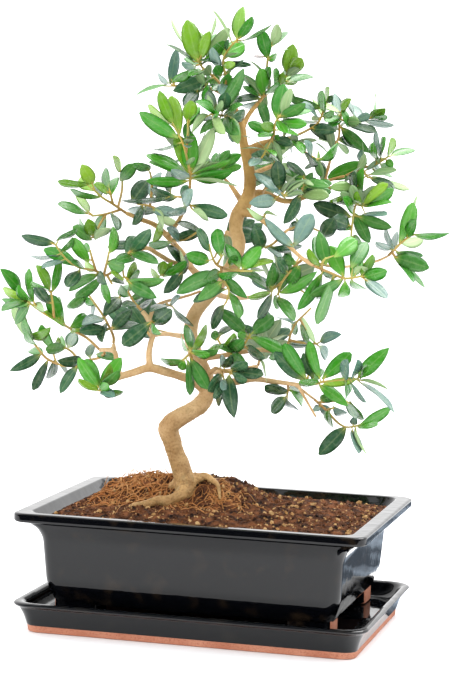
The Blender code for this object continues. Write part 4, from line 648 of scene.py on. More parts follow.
# Each spray: its twigs from the wood outwards as (across, down, depth), then its leaves as the
# (across, down) of the foot and of the tip, the width seen and a shade: y lime, g fresh green,
# m mid green, d deep green, s soft bluish green lightened in part as painted sheen, p pale
# underside, r brown.
SPRAYS = {
    "crown_left": (
        [[(222, 87, 5), (217, 80, 6), (209, 73, 5), (202, 67, 3), (198, 60, 0)]],
        [(197, 61, 187, 20, 20, "y"), (199, 59, 197, 30, 17, "y"), (201, 58, 209, 32, 12, "y"),
         (204, 58, 214, 33, 7, "g"), (205, 60, 229, 28, 12, "p"), (208, 61, 224, 41, 12, "g"),
         (193, 52, 170, 20, 3, "p"), (202, 54, 218, 18, 3, "p"), (196, 64, 167, 43, 4, "m"),
         (196, 67, 181, 65, 9, "s"), (198, 66, 186, 56, 9, "g"), (203, 70, 189, 75, 7, "g")]),
    "crown_peak": (
        [[(225, 92, 4), (226, 78, -6), (223, 62, -10), (228, 50, -12), (237, 40, -14)]],
        [(222, 55, 246, 44, 17, "g"), (237, 39, 243, 6, 13, "y"), (239, 39, 252, 17, 10, "g"),
         (232, 43, 213, 9, 3, "p"), (240, 42, 272, 25, 4, "m"), (219, 68, 212, 49, 10, "s"),
         (224, 62, 251, 66, 7, "d"), (223, 67, 235, 63, 9, "y"), (223, 74, 233, 68, 6, "y"),
         (221, 76, 216, 67, 12, "g"), (225, 89, 229, 74, 13, "g"), (225, 50, 229, 40, 5, "d")]),
    "crown_back_left": (
        [[(229, 98, 4), (218, 92, 16), (205, 86, 20), (192, 85, 20), (173, 86, 20)]],
        [(209, 79, 173, 91, 17, "d"), (170, 84, 177, 49, 11, "s"), (172, 83, 189, 72, 10, "g"),
         (168, 85, 135, 94, 4, "m"), (169, 83, 157, 76, 7, "s"), (206, 84, 206, 99, 9, "g"),
         (199, 90, 184, 106, 14, "d"), (214, 90, 200, 98, 8, "g"), (215, 86, 214, 74, 11, "g")]),
    "crown_mid": (
        [[(238, 115, 3), (230, 116, -12), (219, 115, -22), (210, 114, -26)]],
        [(218, 112, 244, 69, 13, "m"), (216, 113, 197, 101, 9, "g"), (214, 117, 195, 117, 8, "d"),
         (222, 117, 241, 103, 5, "m"), (221, 120, 200, 133, 9, "m"), (224, 120, 238, 134, 14, "m"),
         (208, 115, 191, 132, 8, "p"), (229, 118, 247, 114, 12, "d"), (217, 109, 206, 90, 12, "d"),
         (222, 112, 226, 93, 13, "d")]),
    "crown_right": (
        [[(258, 103, 11), (263, 97, 13), (265, 85, 15), (267, 66, 14), (268, 57, 12), (271, 46, 12)],
         [(263, 97, 13), (272, 90, 20), (282, 82, 25), (287, 74, 26)]],
        [(268, 59, 261, 31, 14, "g"), (271, 45, 279, 24, 12, "p"), (273, 46, 286, 31, 9, "m"),
         (267, 59, 278, 56, 8, "g"), (264, 56, 250, 57, 4, "r"), (287, 73, 293, 45, 16, "y"),
         (289, 72, 302, 59, 15, "y"), (264, 96, 260, 69, 14, "g"), (262, 97, 243, 85, 9, "g"),
         (265, 95, 278, 84, 7, "g"), (262, 88, 242, 76, 9, "g"), (268, 82, 269, 68, 7, "g"),
         (274, 88, 288, 65, 7, "m"), (284, 84, 298, 77, 12, "y"), (281, 85, 283, 73, 9, "y"),
         (261, 99, 230, 101, 8, "d"), (258, 100, 269, 128, 11, "m"), (258, 101, 240, 108, 9, "s"),
         (277, 88, 274, 70, 7, "m"), (287, 83, 314, 75, 8, "m")]),
    "crown_right_front": (
        [[(272, 141, 4), (274, 133, -8), (275, 124, -18), (279, 116, -24)],
         [(274, 133, -8), (268, 146, -14), (263, 156, -14)]],
        [(277, 119, 284, 84, 18, "g"), (283, 118, 290, 88, 10, "p"), (276, 123, 306, 124, 11, "g"),
         (275, 129, 262, 125, 11, "y"), (277, 130, 299, 134, 6, "g"), (274, 133, 259, 136, 6, "g"),
         (281, 117, 305, 104, 11, "m"), (284, 116, 312, 109, 8, "g"), (281, 112, 304, 108, 8, "s"),
         (275, 135, 279, 140, 6, "g"), (258, 161, 272, 163, 5, "g"), (263, 154, 282, 160, 5, "m"),
         (266, 149, 276, 155, 4, "g"), (262, 158, 250, 166, 9, "s")]),
    "right_top": (
        [[(281, 140, 6), (290, 138, 8), (306, 131, 14), (317, 124, 19), (322, 115, 22), (325, 106, 24)],
         [(292, 138, 8), (302, 150, 4), (318, 160, 6)]],
        [(321, 115, 314, 98, 8, "y"), (323, 113, 323, 91, 9, "g"), (326, 109, 329, 88, 4, "y"),
         (319, 119, 304, 103, 5, "s"), (318, 122, 288, 118, 4, "m"), (322, 108, 288, 97, 10, "m"),
         (324, 118, 333, 112, 8, "g"), (312, 129, 336, 131, 13, "d"), (326, 103, 332, 96, 7, "d"),
         (293, 140, 303, 153, 9, "g"), (288, 141, 294, 153, 5, "s"), (312, 156, 305, 141, 8, "s"),
         (304, 153, 316, 165, 6, "d"), (318, 163, 305, 167, 6, "d"), (319, 160, 340, 146, 11, "g"),
         (317, 160, 319, 151, 4, "y"), (319, 163, 327, 178, 9, "d")]),
    "right_top_far": (
        [[(329, 165, 27), (333, 150, 31), (339, 136, 35), (340, 121, 38), (350, 121, 40),
          (362, 120, 42), (371, 118, 42)],
         [(340, 121, 38), (342, 110, 34)]],
        [(339, 117, 335, 93, 12, "s"), (342, 112, 350, 99, 9, "y"), (360, 121, 350, 103, 11, "s"),
         (355, 119, 343, 90, 3, "s"), (350, 126, 342, 112, 8, "g"), (348, 125, 376, 132, 9, "d"),
         (341, 127, 370, 153, 13, "m"), (371, 118, 385, 109, 12, "y"), (371, 115, 376, 95, 3, "g"),
         (364, 121, 394, 125, 7, "s"), (371, 120, 386, 116, 7, "g"), (338, 130, 330, 118, 9, "d"),
         (338, 140, 356, 146, 10, "d"), (357, 121, 366, 116, 6, "y"), (336, 142, 310, 125, 12, "d")]),
    "right_high": (
        [[(345, 176, 24), (360, 169, 24), (373, 165, 24), (380, 162, 22), (389, 156, 20)],
         [(362, 168.5, 24), (368, 178, 20)]],
        [(367, 163, 327, 178, 16, "g"), (375, 159, 373, 143, 9, "g"), (380, 159, 384, 138, 5, "g"),
         (388, 157, 392, 139, 7, "y"), (391, 156, 415, 149, 8, "m"), (380, 164, 393, 170, 12, "g"),
         (372, 170, 392, 174, 7, "g"), (379, 156, 376, 132, 6, "s"), (372, 176, 409, 190, 7, "p"),
         (371, 178, 394, 189, 9, "d"), (364, 162, 359, 150, 9, "s"), (386, 160, 393, 166, 8, "g")]),
    "right_upper": (
        [[(338, 186, 15), (350, 190, 12), (356, 200, 8), (354, 212, 2), (352, 226, -4), (351, 238, -8)],
         [(355.5, 204, 6), (362, 206, -6)],
         [(350, 190, 12), (358, 185, 4)]],
        [(363, 205, 387, 184, 10, "y"), (363, 206, 394, 190, 13, "g"), (364, 207, 391, 201, 5, "g"),
         (361, 205, 357, 192, 7, "y"), (359, 194, 362, 169, 11, "g"), (353, 190, 355, 172, 9, "d"),
         (347, 190, 338, 180, 10, "g"), (350, 196, 331, 201, 6, "y"), (353, 214, 345, 198, 8, "g"),
         (351, 217, 313, 204, 16, "d"), (355, 213, 369, 243, 13, "m"), (358, 216, 391, 228, 12, "m"),
         (351, 230, 339, 226, 8, "g"), (362, 214, 386, 213, 5, "s"), (350, 226, 333, 219, 17, "d"),
         (353, 236, 363, 248, 8, "m"), (350, 206, 327, 199, 6, "d")]),
    "inner_right_leaf": (
        [[(262, 194, 6), (266, 188, -8), (277, 190, -16), (285, 197, -18)]],
        [(280, 190, 277, 161, 15, "d"), (286, 199, 255, 173, 10, "s"), (276, 200, 251, 203, 14, "s"),
         (270, 186, 258, 178, 8, "d")]),
    "inner_right_high": (
        [[(298, 200, 12), (302, 190, 2), (304, 178, -6)]],
        [(303, 178, 286, 169, 11, "g"), (306, 177, 288, 162, 8, "d"), (304, 186, 297, 181, 9, "g"),
         (303, 190, 289, 194, 7, "d"), (300, 195, 285, 223, 12, "d"), (305, 178, 313, 186, 6, "p")]),
    "inner_right_mid": (
        [[(276, 233, -22), (283, 234, -33), (292, 245, -39)],
         [(283, 234, -33), (290, 229, -26), (305, 226, -14), (321, 232, -8)],
         [(280, 233.6, -29), (268, 226, -30), (264, 214, -28)],
         [(283, 234, -33), (274, 243, -28), (265, 248, -22)]],
        [(294, 247, 264, 219, 11, "s"), (294, 246, 312, 214, 17, "s"), (303, 226, 288, 227, 10, "d"),
         (270, 247, 302, 248, 9, "d"), (264, 246, 286, 262, 7, "s"), (262, 249, 255, 227, 15, "d"),
         (322, 238, 334, 219, 16, "d"), (300, 228, 296, 217, 4, "p"), (264, 214, 278, 216, 4, "p"),
         (264, 217, 247, 212, 9, "p")]),
    "far_right": (
        [[(388, 256, -8), (395, 249, -6), (402, 242, -4), (412, 235, -2)],
         [(392, 252, -7), (398, 262, -2)]],
        [(399, 243, 414, 203, 15, "g"), (412, 230, 417, 195, 3, "p"), (406, 237, 415, 220, 11, "g"),
         (400, 243, 422, 240, 11, "p"), (413, 234, 450, 234, 7, "g"), (394, 257, 429, 268, 17, "m"),
         (400, 263, 425, 287, 6, "m"), (394, 249, 383, 228, 7, "s"), (393, 250, 376, 243, 8, "s"),
         (396, 248, 394, 232, 9, "s"), (391, 256, 362, 243, 12, "s"), (398, 264, 414, 281, 5, "g"),
         (396, 252, 423, 257, 9, "m")]),
    "front_right": (
        [[(314, 266, -40), (331, 273, -44), (343, 278, -46), (352, 278, -50), (362, 276, -52)],
         [(322, 269.5, -42), (322, 263, -50), (326, 258, -54)]],
        [(344, 277, 329, 246, 16, "g"), (351, 277, 362, 257, 12, "g"), (362, 276, 373, 256, 9, "y"),
         (363, 277, 386, 271, 13, "g"), (351, 280, 367, 291, 7, "g"), (345, 281, 343, 298, 12, "g"),
         (334, 257, 357, 240, 17, "g"), (351, 268, 367, 242, 15, "m"), (326, 265, 319, 231, 14, "m"),
         (319, 267, 309, 249, 8, "y"), (317, 264, 317, 236, 11, "m"), (338, 276, 318, 270, 8, "g"),
         (365, 279, 387, 298, 11, "s"), (343, 279, 309, 297, 11, "m"), (322, 273, 298, 310, 12, "g"),
         (354, 274, 367, 266, 8, "p"), (334, 277, 317, 324, 12, "m"), (332, 280, 318, 300, 9, "d")]),
    "inner_right_low": (
        [[(303, 259, -36), (294, 267, -28), (282, 282, -22), (278, 294, -18)],
         [(282, 282, -22), (272, 290, -14)]],
        [(297, 264, 281, 258, 13, "m"), (279, 292, 290, 263, 12, "m"), (300, 266, 287, 285, 14, "m"),
         (280, 293, 318, 273, 12, "g"), (278, 297, 294, 321, 12, "m"), (280, 292, 281, 283, 5, "y"),
         (272, 292, 253, 277, 12, "s"), (270, 289, 273, 262, 12, "m"), (272, 294, 258, 318, 10, "d"),
         (276, 295, 276, 308, 6, "m"), (270, 294, 249, 297, 8, "y"), (268, 288, 247, 276, 9, "m"),
         (288, 273, 277, 258, 10, "d")]),
    "centre_front": (
        [[(227, 269, -14), (217, 265, -27), (212, 256, -33), (209, 244, -36)],
         [(223, 267.4, -19), (232, 270, -34), (243, 271, -38), (252, 271, -40)],
         [(217, 265, -27), (222, 256, -36)],
         [(221, 266.5, -22), (222, 278, -26), (229, 290, -28), (226, 303, -26)]],
        [(240, 268, 226, 243, 12, "g"), (242, 269, 261, 247, 14, "g"), (244, 269, 273, 259, 8, "y"),
         (238, 266, 259, 245, 9, "m"), (251, 271, 264, 268, 6, "y"), (238, 274, 220, 275, 8, "g"),
         (221, 273, 176, 292, 16, "m"), (220, 272, 203, 281, 13, "m"), (222, 282, 198, 300, 14, "m"),
         (227, 289, 193, 301, 10, "d"), (223, 277, 247, 298, 11, "m"), (211, 252, 198, 230, 10, "d"),
         (221, 257, 216, 228, 14, "g"), (224, 256, 225, 238, 8, "g"), (209, 262, 187, 254, 14, "g"),
         (230, 266, 235, 255, 9, "m"), (230, 292, 240, 317, 10, "m"), (234, 273, 262, 275, 8, "m"),
         (224, 305, 211, 329, 11, "d")]),
    "centre_low": (
        [[(238, 352, -3), (243, 346, -14), (249, 337, -18)],
         [(243, 346, -14), (230, 352, -18), (222, 346, -20), (217, 338, -20)],
         [(243, 346, -14), (254, 350, -18), (260, 357, -18)]],
        [(247, 335, 219, 309, 14, "m"), (250, 334, 274, 316, 16, "m"), (251, 337, 285, 353, 13, "g"),
         (246, 338, 238, 333, 9, "g"), (216, 341, 215, 330, 10, "g"), (224, 348, 234, 334, 8, "y"),
         (229, 351, 243, 340, 13, "m"), (219, 336, 235, 326, 8, "d"), (250, 334, 248, 326, 8, "d"),
         (246, 347, 263, 358, 10, "d"), (259, 358, 267, 381, 3, "p"), (222, 348, 205, 352, 8, "g"),
         (236, 350, 221, 347, 8, "m"), (230, 354, 245, 366, 13, "m")]),
    "low_front": (
        [[(192, 358, -22), (190.5, 353, -25), (190, 349, -26)],
         [(190.5, 353, -25), (183, 360, -28)]],
        [(190, 350, 188, 324, 11, "g"), (192, 350, 207, 325, 9, "y"), (188, 351, 180, 333, 4, "g"),
         (192, 353, 209, 354, 9, "g"), (184, 360, 161, 362, 9, "m"), (185, 361, 180, 370, 9, "g"),
         (190, 358, 208, 389, 14, "m"), (188, 360, 191, 395, 9, "m"), (194, 353, 218, 350, 8, "m")]),
    "low_front_right": (
        [[(216, 368, -12), (226, 371, -22), (232, 374, -26)],
         [(221, 369.5, -17), (224, 379, -26)]],
        [(229, 375, 234, 418, 16, "d"), (222, 375, 208, 391, 12, "d"), (223, 381, 213, 398, 9, "d"),
         (225, 379, 222, 390, 8, "s"), (225, 382, 217, 406, 9, "d"), (232, 371, 263, 375, 12, "d"),
         (232, 374, 246, 380, 9, "d"), (224, 368, 232, 355, 10, "d"), (231, 370, 247, 362, 12, "d"),
         (220, 367, 224, 356, 8, "s")]),
    "low_right": (
        [[(300, 385, -30), (316, 384, -34), (322, 382, -37), (338, 380, -38), (358, 379, -38)],
         [(307, 384.5, -32), (308, 376, -38)]],
        [(306, 379, 284, 344, 14, "g"), (304, 380, 274, 352, 15, "d"), (304, 380, 290, 358, 7, "s"),
         (314, 378, 302, 353, 10, "d"), (320, 379, 308, 342, 12, "g"), (322, 379, 351, 353, 15, "g"),
         (323, 384, 357, 380, 9, "y"), (319, 385, 348, 406, 12, "g"), (318, 384, 300, 381, 9, "g"),
         (344, 380, 347, 360, 10, "s"), (353, 378, 358, 360, 8, "s"), (358, 378, 389, 348, 15, "g"),
         (360, 378, 371, 367, 7, "g"), (360, 380, 389, 389, 4, "p"), (359, 382, 396, 410, 6, "s"),
         (345, 381, 349, 398, 9, "m"), (350, 381, 366, 402, 5, "s"), (313, 384, 320, 368, 12, "m")]),
    "low_right_under": (
        [[(288, 384, -27), (288, 390, -16), (287, 396, -10)]],
        [(288, 393, 266, 386, 11, "d"), (286, 397, 270, 413, 13, "d"), (286, 398, 296, 411, 8, "s"),
         (290, 390, 304, 404, 10, "g"), (289, 389, 306, 392, 6, "d")]),
    "mid_low_right": (
        [[(276, 351, -6), (287, 345, -6), (291, 333, -6), (296, 323, -6), (305, 314, -5),
          (311, 308, -4)],
         [(288.5, 340, -6), (304, 343, -10), (318, 344, -12)],
         [(300, 319, -5.6), (306, 330, -14)]],
        [(288, 342, 312, 345, 9, "d"), (300, 325, 309, 343, 7, "m"), (316, 345, 303, 318, 8, "p"),
         (320, 341, 340, 334, 11, "s"), (319, 346, 328, 359, 10, "s"), (290, 335, 272, 341, 3, "p"),
         (294, 325, 276, 317, 4, "s"), (297, 321, 293, 334, 8, "g"), (282, 348, 270, 358, 8, "m")]),
    "low_right_hang": (
        [[(314, 399, -12), (326, 410, -8), (337, 422, -6), (346, 427, -5), (356, 426, -4)],
         [(326, 410, -8), (333, 408, -16)],
         [(318, 402.6, -11), (334, 401, -6), (347, 401, -4)]],
        [(346, 427, 319, 455, 16, "d"), (352, 430, 359, 453, 9, "s"), (355, 428, 367, 456, 4, "p"),
         (358, 426, 391, 409, 11, "g"), (358, 427, 376, 424, 7, "g"), (353, 425, 355, 416, 8, "s"),
         (347, 402, 355, 418, 9, "d"), (350, 401, 361, 420, 10, "m"), (320, 404, 329, 414, 10, "s"),
         (333, 406, 345, 416, 10, "s"), (329, 409, 332, 428, 8, "m"), (320, 400, 334, 396, 10, "m"),
         (320, 406, 313, 411, 7, "s")]),
    "left_crown": (
        [[(190, 186, -17), (190, 174, -21), (187, 158, -24), (182, 141, -26), (174, 126, -26)],
         [(186, 153, -24.6), (188, 134, -28), (188, 121, -30)]],
        [(173, 124, 159, 91, 12, "y"), (171, 124, 147, 107, 9, "y"), (180, 134, 171, 96, 15, "y"),
         (178, 138, 139, 113, 15, "g"), (188, 121, 191, 102, 14, "y"), (190, 173, 190, 131, 17, "g"),
         (188, 173, 177, 134, 14, "y"), (189, 176, 147, 154, 11, "g"), (188, 178, 150, 160, 9, "g"),
         (192, 173, 214, 128, 14, "p"), (193, 174, 232, 160, 8, "g"), (193, 178, 234, 171, 13, "g"),
         (188, 181, 146, 182, 11, "g"), (189, 179, 172, 170, 10, "s"), (192, 179, 240, 184, 3, "p"),
         (192, 175, 222, 162, 5, "p"), (180, 143, 152, 151, 4, "m")]),
    "left_rise": (
        [[(188, 199, -11), (187, 199, -22), (180, 197, -22), (170, 196, -16)],
         [(187, 199, -22), (192, 209, -26)]],
        [(177, 197, 150, 190, 11, "d"), (172, 197, 122, 203, 6, "d"), (171, 192, 167, 168, 10, "d"),
         (182, 198, 187, 186, 9, "d"), (184, 206, 191, 190, 11, "s"), (191, 205, 227, 216, 13, "d"),
         (192, 210, 210, 217, 9, "p"), (186, 206, 168, 216, 10, "s")]),
    "left_inner": (
        [[(160, 229, 13), (162, 214, 4), (150, 206, 0), (138, 204, 4), (130, 200, 8)],
         [(150, 206, 0), (152, 186, -6), (150, 172, -8)]],
        [(132, 202, 148, 180, 18, "d"), (150, 170, 134, 163, 10, "g"), (152, 210, 178, 214, 11, "s"),
         (153, 208, 165, 228, 8, "p"), (160, 212, 140, 210, 10, "d"), (146, 207, 129, 214, 12, "s"),
         (160, 218, 177, 222, 10, "p"), (143, 206, 134, 224, 9, "d"), (152, 200, 158, 171, 11, "s"),
         (161, 222, 153, 242, 9, "y")]),
    "left_mid_up": (
        [[(175, 245, 13), (173, 241, 2), (184, 240, -4), (196, 233, -8)]],
        [(172, 240, 200, 231, 11, "d"), (171, 242, 149, 247, 10, "m"), (202, 231, 179, 222, 7, "d"),
         (180, 241, 168, 228, 9, "s")]),
    "left_mid_low": (
        [[(187, 262, 11), (186, 266, 0), (178, 276, -4)]],
        [(185, 265, 168, 246, 9, "d"), (183, 270, 164, 293, 12, "d"), (178, 275, 188, 255, 9, "d"),
         (187, 264, 178, 250, 6, "p")]),
    "mid_left_bright": (
        [[(171, 262, 2), (166, 270, -8), (162, 276, -10)]],
        [(161, 276, 164, 262, 11, "y"), (163, 277, 186, 262, 10, "g"), (165, 271, 172, 263, 9, "y"),
         (160, 277, 150, 270, 7, "y")]),
    "mid_left": (
        [[(148, 249, -11), (138, 246, -22), (128, 254, -28), (123, 266, -30), (124, 278, -30)]],
        [(131, 252, 150, 230, 14, "d"), (126, 256, 135, 236, 14, "d"), (134, 257, 116, 262, 11, "m"),
         (126, 280, 138, 263, 11, "y"), (124, 279, 112, 272, 5, "y"), (128, 281, 140, 272, 8, "m"),
         (126, 281, 164, 281, 10, "m"), (128, 282, 156, 298, 14, "m"), (134, 248, 108, 246, 10, "d"),
         (130, 252, 158, 262, 10, "m")]),
    "far_left_high": (
        [[(126, 213, 3), (113, 204, -3), (103, 198, -8), (94, 190, -12)],
         [(113, 204, -3), (110, 192, -10)],
         [(121, 209.5, 0.7), (106, 214, -4), (92, 216, -8)],
         [(106, 214, -4), (98, 228, -10), (94, 238, -14)],
         [(118, 207.5, -0.7), (122, 190, 8), (122, 176, 10)]],
        [(93, 184, 82, 165, 14, "y"), (94, 191, 80, 177, 16, "y"), (90, 184, 58, 181, 8, "y"),
         (101, 197, 70, 190, 7, "m"), (111, 196, 116, 177, 11, "g"), (108, 193, 95, 184, 8, "y"),
         (99, 197, 96, 184, 8, "d"), (88, 213, 77, 192, 9, "y"), (89, 214, 59, 203, 9, "m"),
         (93, 236, 88, 219, 13, "y"), (90, 236, 78, 221, 8, "m"), (95, 240, 108, 226, 11, "p"),
         (120, 181, 135, 164, 13, "m"), (109, 188, 103, 168, 10, "m"), (121, 171, 113, 156, 8, "y"),
         (106, 216, 97, 232, 13, "m"), (92, 240, 73, 227, 12, "m"), (112, 213, 118, 229, 8, "d")]),
    "far_left_mid": (
        [[(119, 265, -19), (107, 275, -21), (96, 271, -24), (86, 269, -28), (78, 267, -32),
          (66, 259, -34), (55, 244, -36)],
         [(96, 271, -24), (92, 258, -30), (90, 250, -32)],
         [(104, 274, -21.8), (107, 262, -28), (109, 252, -32)],
         [(107, 275, -21), (112, 284, -24)]],
        [(80, 267, 44, 249, 13, "g"), (55, 243, 21, 237, 10, "d"), (60, 255, 30, 258, 5, "s"),
         (64, 260, 42, 267, 6, "s"), (56, 241, 76, 231, 6, "m"), (62, 252, 73, 239, 7, "m"),
         (89, 262, 74, 238, 12, "g"), (109, 253, 115, 227, 11, "g"), (107, 262, 124, 268, 15, "m"),
         (80, 270, 67, 286, 13, "d"), (98, 274, 69, 290, 10, "m"), (102, 276, 76, 298, 11, "m"),
         (104, 277, 107, 304, 9, "g"), (98, 272, 106, 284, 9, "d"), (111, 281, 124, 281, 8, "d"),
         (97, 270, 83, 262, 9, "y"), (84, 268, 72, 262, 6, "m"), (90, 252, 84, 243, 7, "g")]),
    "left_edge": (
        [[(100, 350, -4), (87, 338, 4), (74, 331, 0), (66, 326, -14), (50, 317, -24), (36, 308, -28),
          (25, 299, -30)],
         [(54, 319.3, -21.5), (53, 306, -32), (51, 292, -36)],
         [(40, 310.6, -26.9), (34, 303, -34)]],
        [(21, 291, 1, 269, 13, "g"), (27, 299, 2, 289, 10, "y"), (31, 302, 18, 286, 9, "g"),
         (30, 303, 1, 300, 9, "g"), (27, 301, 2, 309, 8, "m"), (52, 292, 60, 257, 9, "g"),
         (50, 290, 38, 266, 10, "y"), (34, 303, 28, 269, 8, "g"), (50, 291, 32, 282, 6, "g"),
         (50, 304, 36, 286, 11, "d"), (32, 305, 45, 309, 9, "p"), (60, 321, 50, 296, 15, "g"),
         (64, 323, 58, 297, 9, "m"), (66, 326, 46, 311, 9, "y"), (70, 328, 89, 316, 14, "g"),
         (70, 329, 82, 332, 7, "y"), (30, 304, 13, 324, 11, "m")]),
    "left_low_up": (
        [[(113.5, 344, -11), (113, 335, -9), (104, 317, -5), (93, 301, -2), (86, 291, 4)],
         [(104, 317, -5), (114, 306, 4), (122, 294, 8)],
         [(111, 331, -8), (112, 327, -16)]],
        [(120, 297, 104, 315, 15, "d"), (112, 330, 132, 309, 13, "d"), (112, 330, 141, 323, 9, "d"),
         (110, 329, 80, 331, 12, "d"), (103, 318, 82, 325, 11, "s"), (104, 324, 101, 341, 9, "d"),
         (96, 305, 90, 316, 6, "s"), (86, 292, 68, 309, 11, "m"), (95, 304, 82, 299, 9, "g"),
         (120, 297, 128, 284, 9, "m")]),
    "left_upright_low": (
        [[(151, 328, -16), (151, 324, -26), (152, 321, -28)]],
        [(151, 322, 122, 345, 17, "d"), (153, 324, 170, 311, 15, "d"), (151, 324, 160, 334, 7, "m")]),
    "left_upright_top": (
        [[(142, 311, -13), (134, 302, -12), (128, 291, -11)]],
        [(130, 298, 146, 292, 10, "m"), (130, 296, 118, 288, 10, "m"), (128, 291, 134, 278, 8, "m"),
         (138, 306, 152, 301, 8, "d"), (136, 304, 122, 306, 8, "d")]),
    "left_link": (
        [[(166, 301.5, -1), (168, 305, -9), (172, 306, -12)]],
        [(169, 306, 150, 311, 6, "d"), (172, 306, 193, 327, 6, "d"), (170, 304, 180, 296, 6, "s")]),
    "left_low": (
        [[(107, 351, -9), (99, 358, 5), (84, 361, 12), (72, 366, 16), (58, 364, 20), (53, 352, 22)],
         [(58, 364, 20), (46, 358, 22), (36, 346, 22), (28, 337, 20)],
         [(80, 362.7, 13.3), (72, 352, 16), (62, 346, 18)]],
        [(28, 339, 14, 305, 13, "p"), (32, 341, 24, 320, 9, "m"), (29, 338, 50, 329, 11, "y"),
         (54, 350, 41, 326, 10, "g"), (36, 345, 26, 332, 7, "m"), (66, 348, 47, 349, 12, "m"),
         (68, 348, 76, 330, 14, "d"), (82, 360, 58, 361, 12, "d"), (90, 358, 92, 343, 10, "d"),
         (43, 355, 29, 349, 10, "m"), (41, 354, 10, 371, 11, "d"), (54, 360, 51, 380, 11, "d"),
         (48, 360, 33, 390, 10, "d"), (60, 366, 70, 374, 6, "d"), (78, 366, 60, 393, 11, "d"),
         (96, 354, 117, 357, 10, "m"), (66, 347, 60, 336, 7, "g"), (52, 350, 58, 337, 6, "y")]),
    "left_bottom": (
        [[(102, 387, -42), (99, 391, -47)]],
        [(99, 388, 78, 358, 13, "g"), (100, 387, 85, 359, 14, "g"), (101, 388, 121, 358, 15, "g"),
         (101, 388, 110, 364, 9, "y"), (98, 391, 79, 379, 8, "y"), (100, 391, 108, 384, 11, "g"),
         (101, 391, 114, 396, 9, "s"), (101, 390, 122, 395, 10, "m"), (100, 388, 118, 372, 10, "m")]),
}

# %% The surface roots
# The surface roots, in mm: (x, y, height of the root's middle over the soil, radius).
ROOTS = [
    [(-24, -4, 3, 7.5), (-23, -11, 3, 6.2), (-27, -17, 3, 5.4), (-34, -20, 2.6, 4.9), (-42, -22, 2, 4.4),
     (-50, -28, 1, 3.5), (-57, -31, 0.3, 2.8), (-62, -32, -0.6, 2)],
    [(-22, -6, 6, 7), (-13, 1, 5, 4.4), (-6, 0, 3, 3.4), (0, -5, 1.4, 2.6), (4, -12, -0.4, 1.8)],
    [(-27, -5, 5, 7), (-33, -4, 1, 4.5), (-38, -7, -0.6, 3)],
    [(-28, -1, 5, 7), (-36, 9, 0.8, 3.6), (-47, 17, -0.2, 2.6), (-58, 23, -1.2, 1.8)],
    [(-20, -2, 5, 6.5), (-12, 8, 0.6, 3.2), (-2, 16, -0.4, 2.4), (8, 24, -1.4, 1.6)],
]
BACK_NAMES = ("back_middle", "back_upper", "back_upper_right", "back_right", "back_left",
              "back_low_right")
print(len(BRANCHES), "branches,", len(SPRAYS), "sprays,", len(ROOTS), "surface roots")

# %% [markdown]
# ## From the sketch to lines in space
# The same rules as in the solids turn the sketch into lines: a leaf's foot goes to the nearest
# place on its spray's twigs, and a leaf that would touch another spray turns or moves back until it
# is clear. The dice are thrown from the same seed, so each fine leaf stands where its solid stands.

# %% Sizes of the tree
SOIL_EDGE = (0.1160, 0.0850)     # half sizes of the soil's top
SOIL_CORNER = 0.010
SOIL_RIM_HIGH = 0.0843
SOIL_DOME = 0.0065
ROOT_BALL = 0.0175               # how far the old root ball stands above the dome
# Where the root ball rises and falls: a place, and how far on the rise or fall ends.
BALL_LEFT, BALL_RIGHT = (-0.104, 0.016), (0.002, 0.040)
BALL_FRONT, BALL_BACK = (-0.026, 0.030), (0.018, 0.060)
SEED = 7
GAP = 0.0003                     # between a spray's foot and the wood that it grows on
TWIG = 0.0013                    # radius of a twig at its foot
TWIG_TAPER = 0.35
SUNK = 0.001                     # a leaf's root stays this far from the end of its twig
LEAF_THICK = 0.0009
LEAF_SECTIONS = ((0.40, 0.98), (0.80, 0.74))    # share of the length, share of the width
LEAF_LONG = (0.024, 0.029)
LEAF_SHARE = (0.36, 0.42)        # width of a leaf for its length
LEAF_ARCH = (-0.02, 0.06)        # how far its middle rises, for a leaf one long
BACK_LEAVES = 11
WOOD_TUBE, TWIG_TUBE = 8, 4      # sides of the tubes that stand for wood and twigs in the crowd


# %% Heights of the soil
def ease(value):
    """From 0 to 1 on a smooth curve."""
    value = min(max(value, 0), 1)
    return value * value * (3 - 2 * value)


def soil_height(x, y):
    """Low near the pot's rim, with the old root ball standing up round the trunk and to its left."""
    fade = max(0, 1 - (x / SOIL_EDGE[0]) ** 4) * max(0, 1 - (y / SOIL_EDGE[1]) ** 4)
    ball = ease((x - BALL_LEFT[0]) / BALL_LEFT[1]) * (1 - ease((x - BALL_RIGHT[0]) / BALL_RIGHT[1]))
    ball *= ease((y - BALL_FRONT[0]) / BALL_FRONT[1]) * (1 - ease((y - BALL_BACK[0]) / BALL_BACK[1]))
    lumps = 0.0009 * sin(x * 210 + 1.3) * cos(y * 240 + x * 90) + 0.0006 * sin(x * 390 - y * 310)
    return SOIL_RIM_HIGH + SOIL_DOME * fade + ROOT_BALL * ball * fade + lumps * fade


# %% Tubes, and how far they are
FOOT_STEP = 0.0002       # metres between two tries for a twig's foot
FOOT_RIM = 8             # points round the foot that have to be clear


def ring_frames(points):
    """Two directions square to the line at each of its points, carried along without twisting."""
    frames = []
    side = (points[1] - points[0]).orthogonal()
    for i in range(len(points)):
        ahead = points[min(i + 1, len(points) - 1)] - points[max(i - 1, 0)]
        ahead.normalize()
        side = (side - ahead * side.dot(ahead)).normalized()
        frames.append((side, ahead.cross(side)))
    return frames


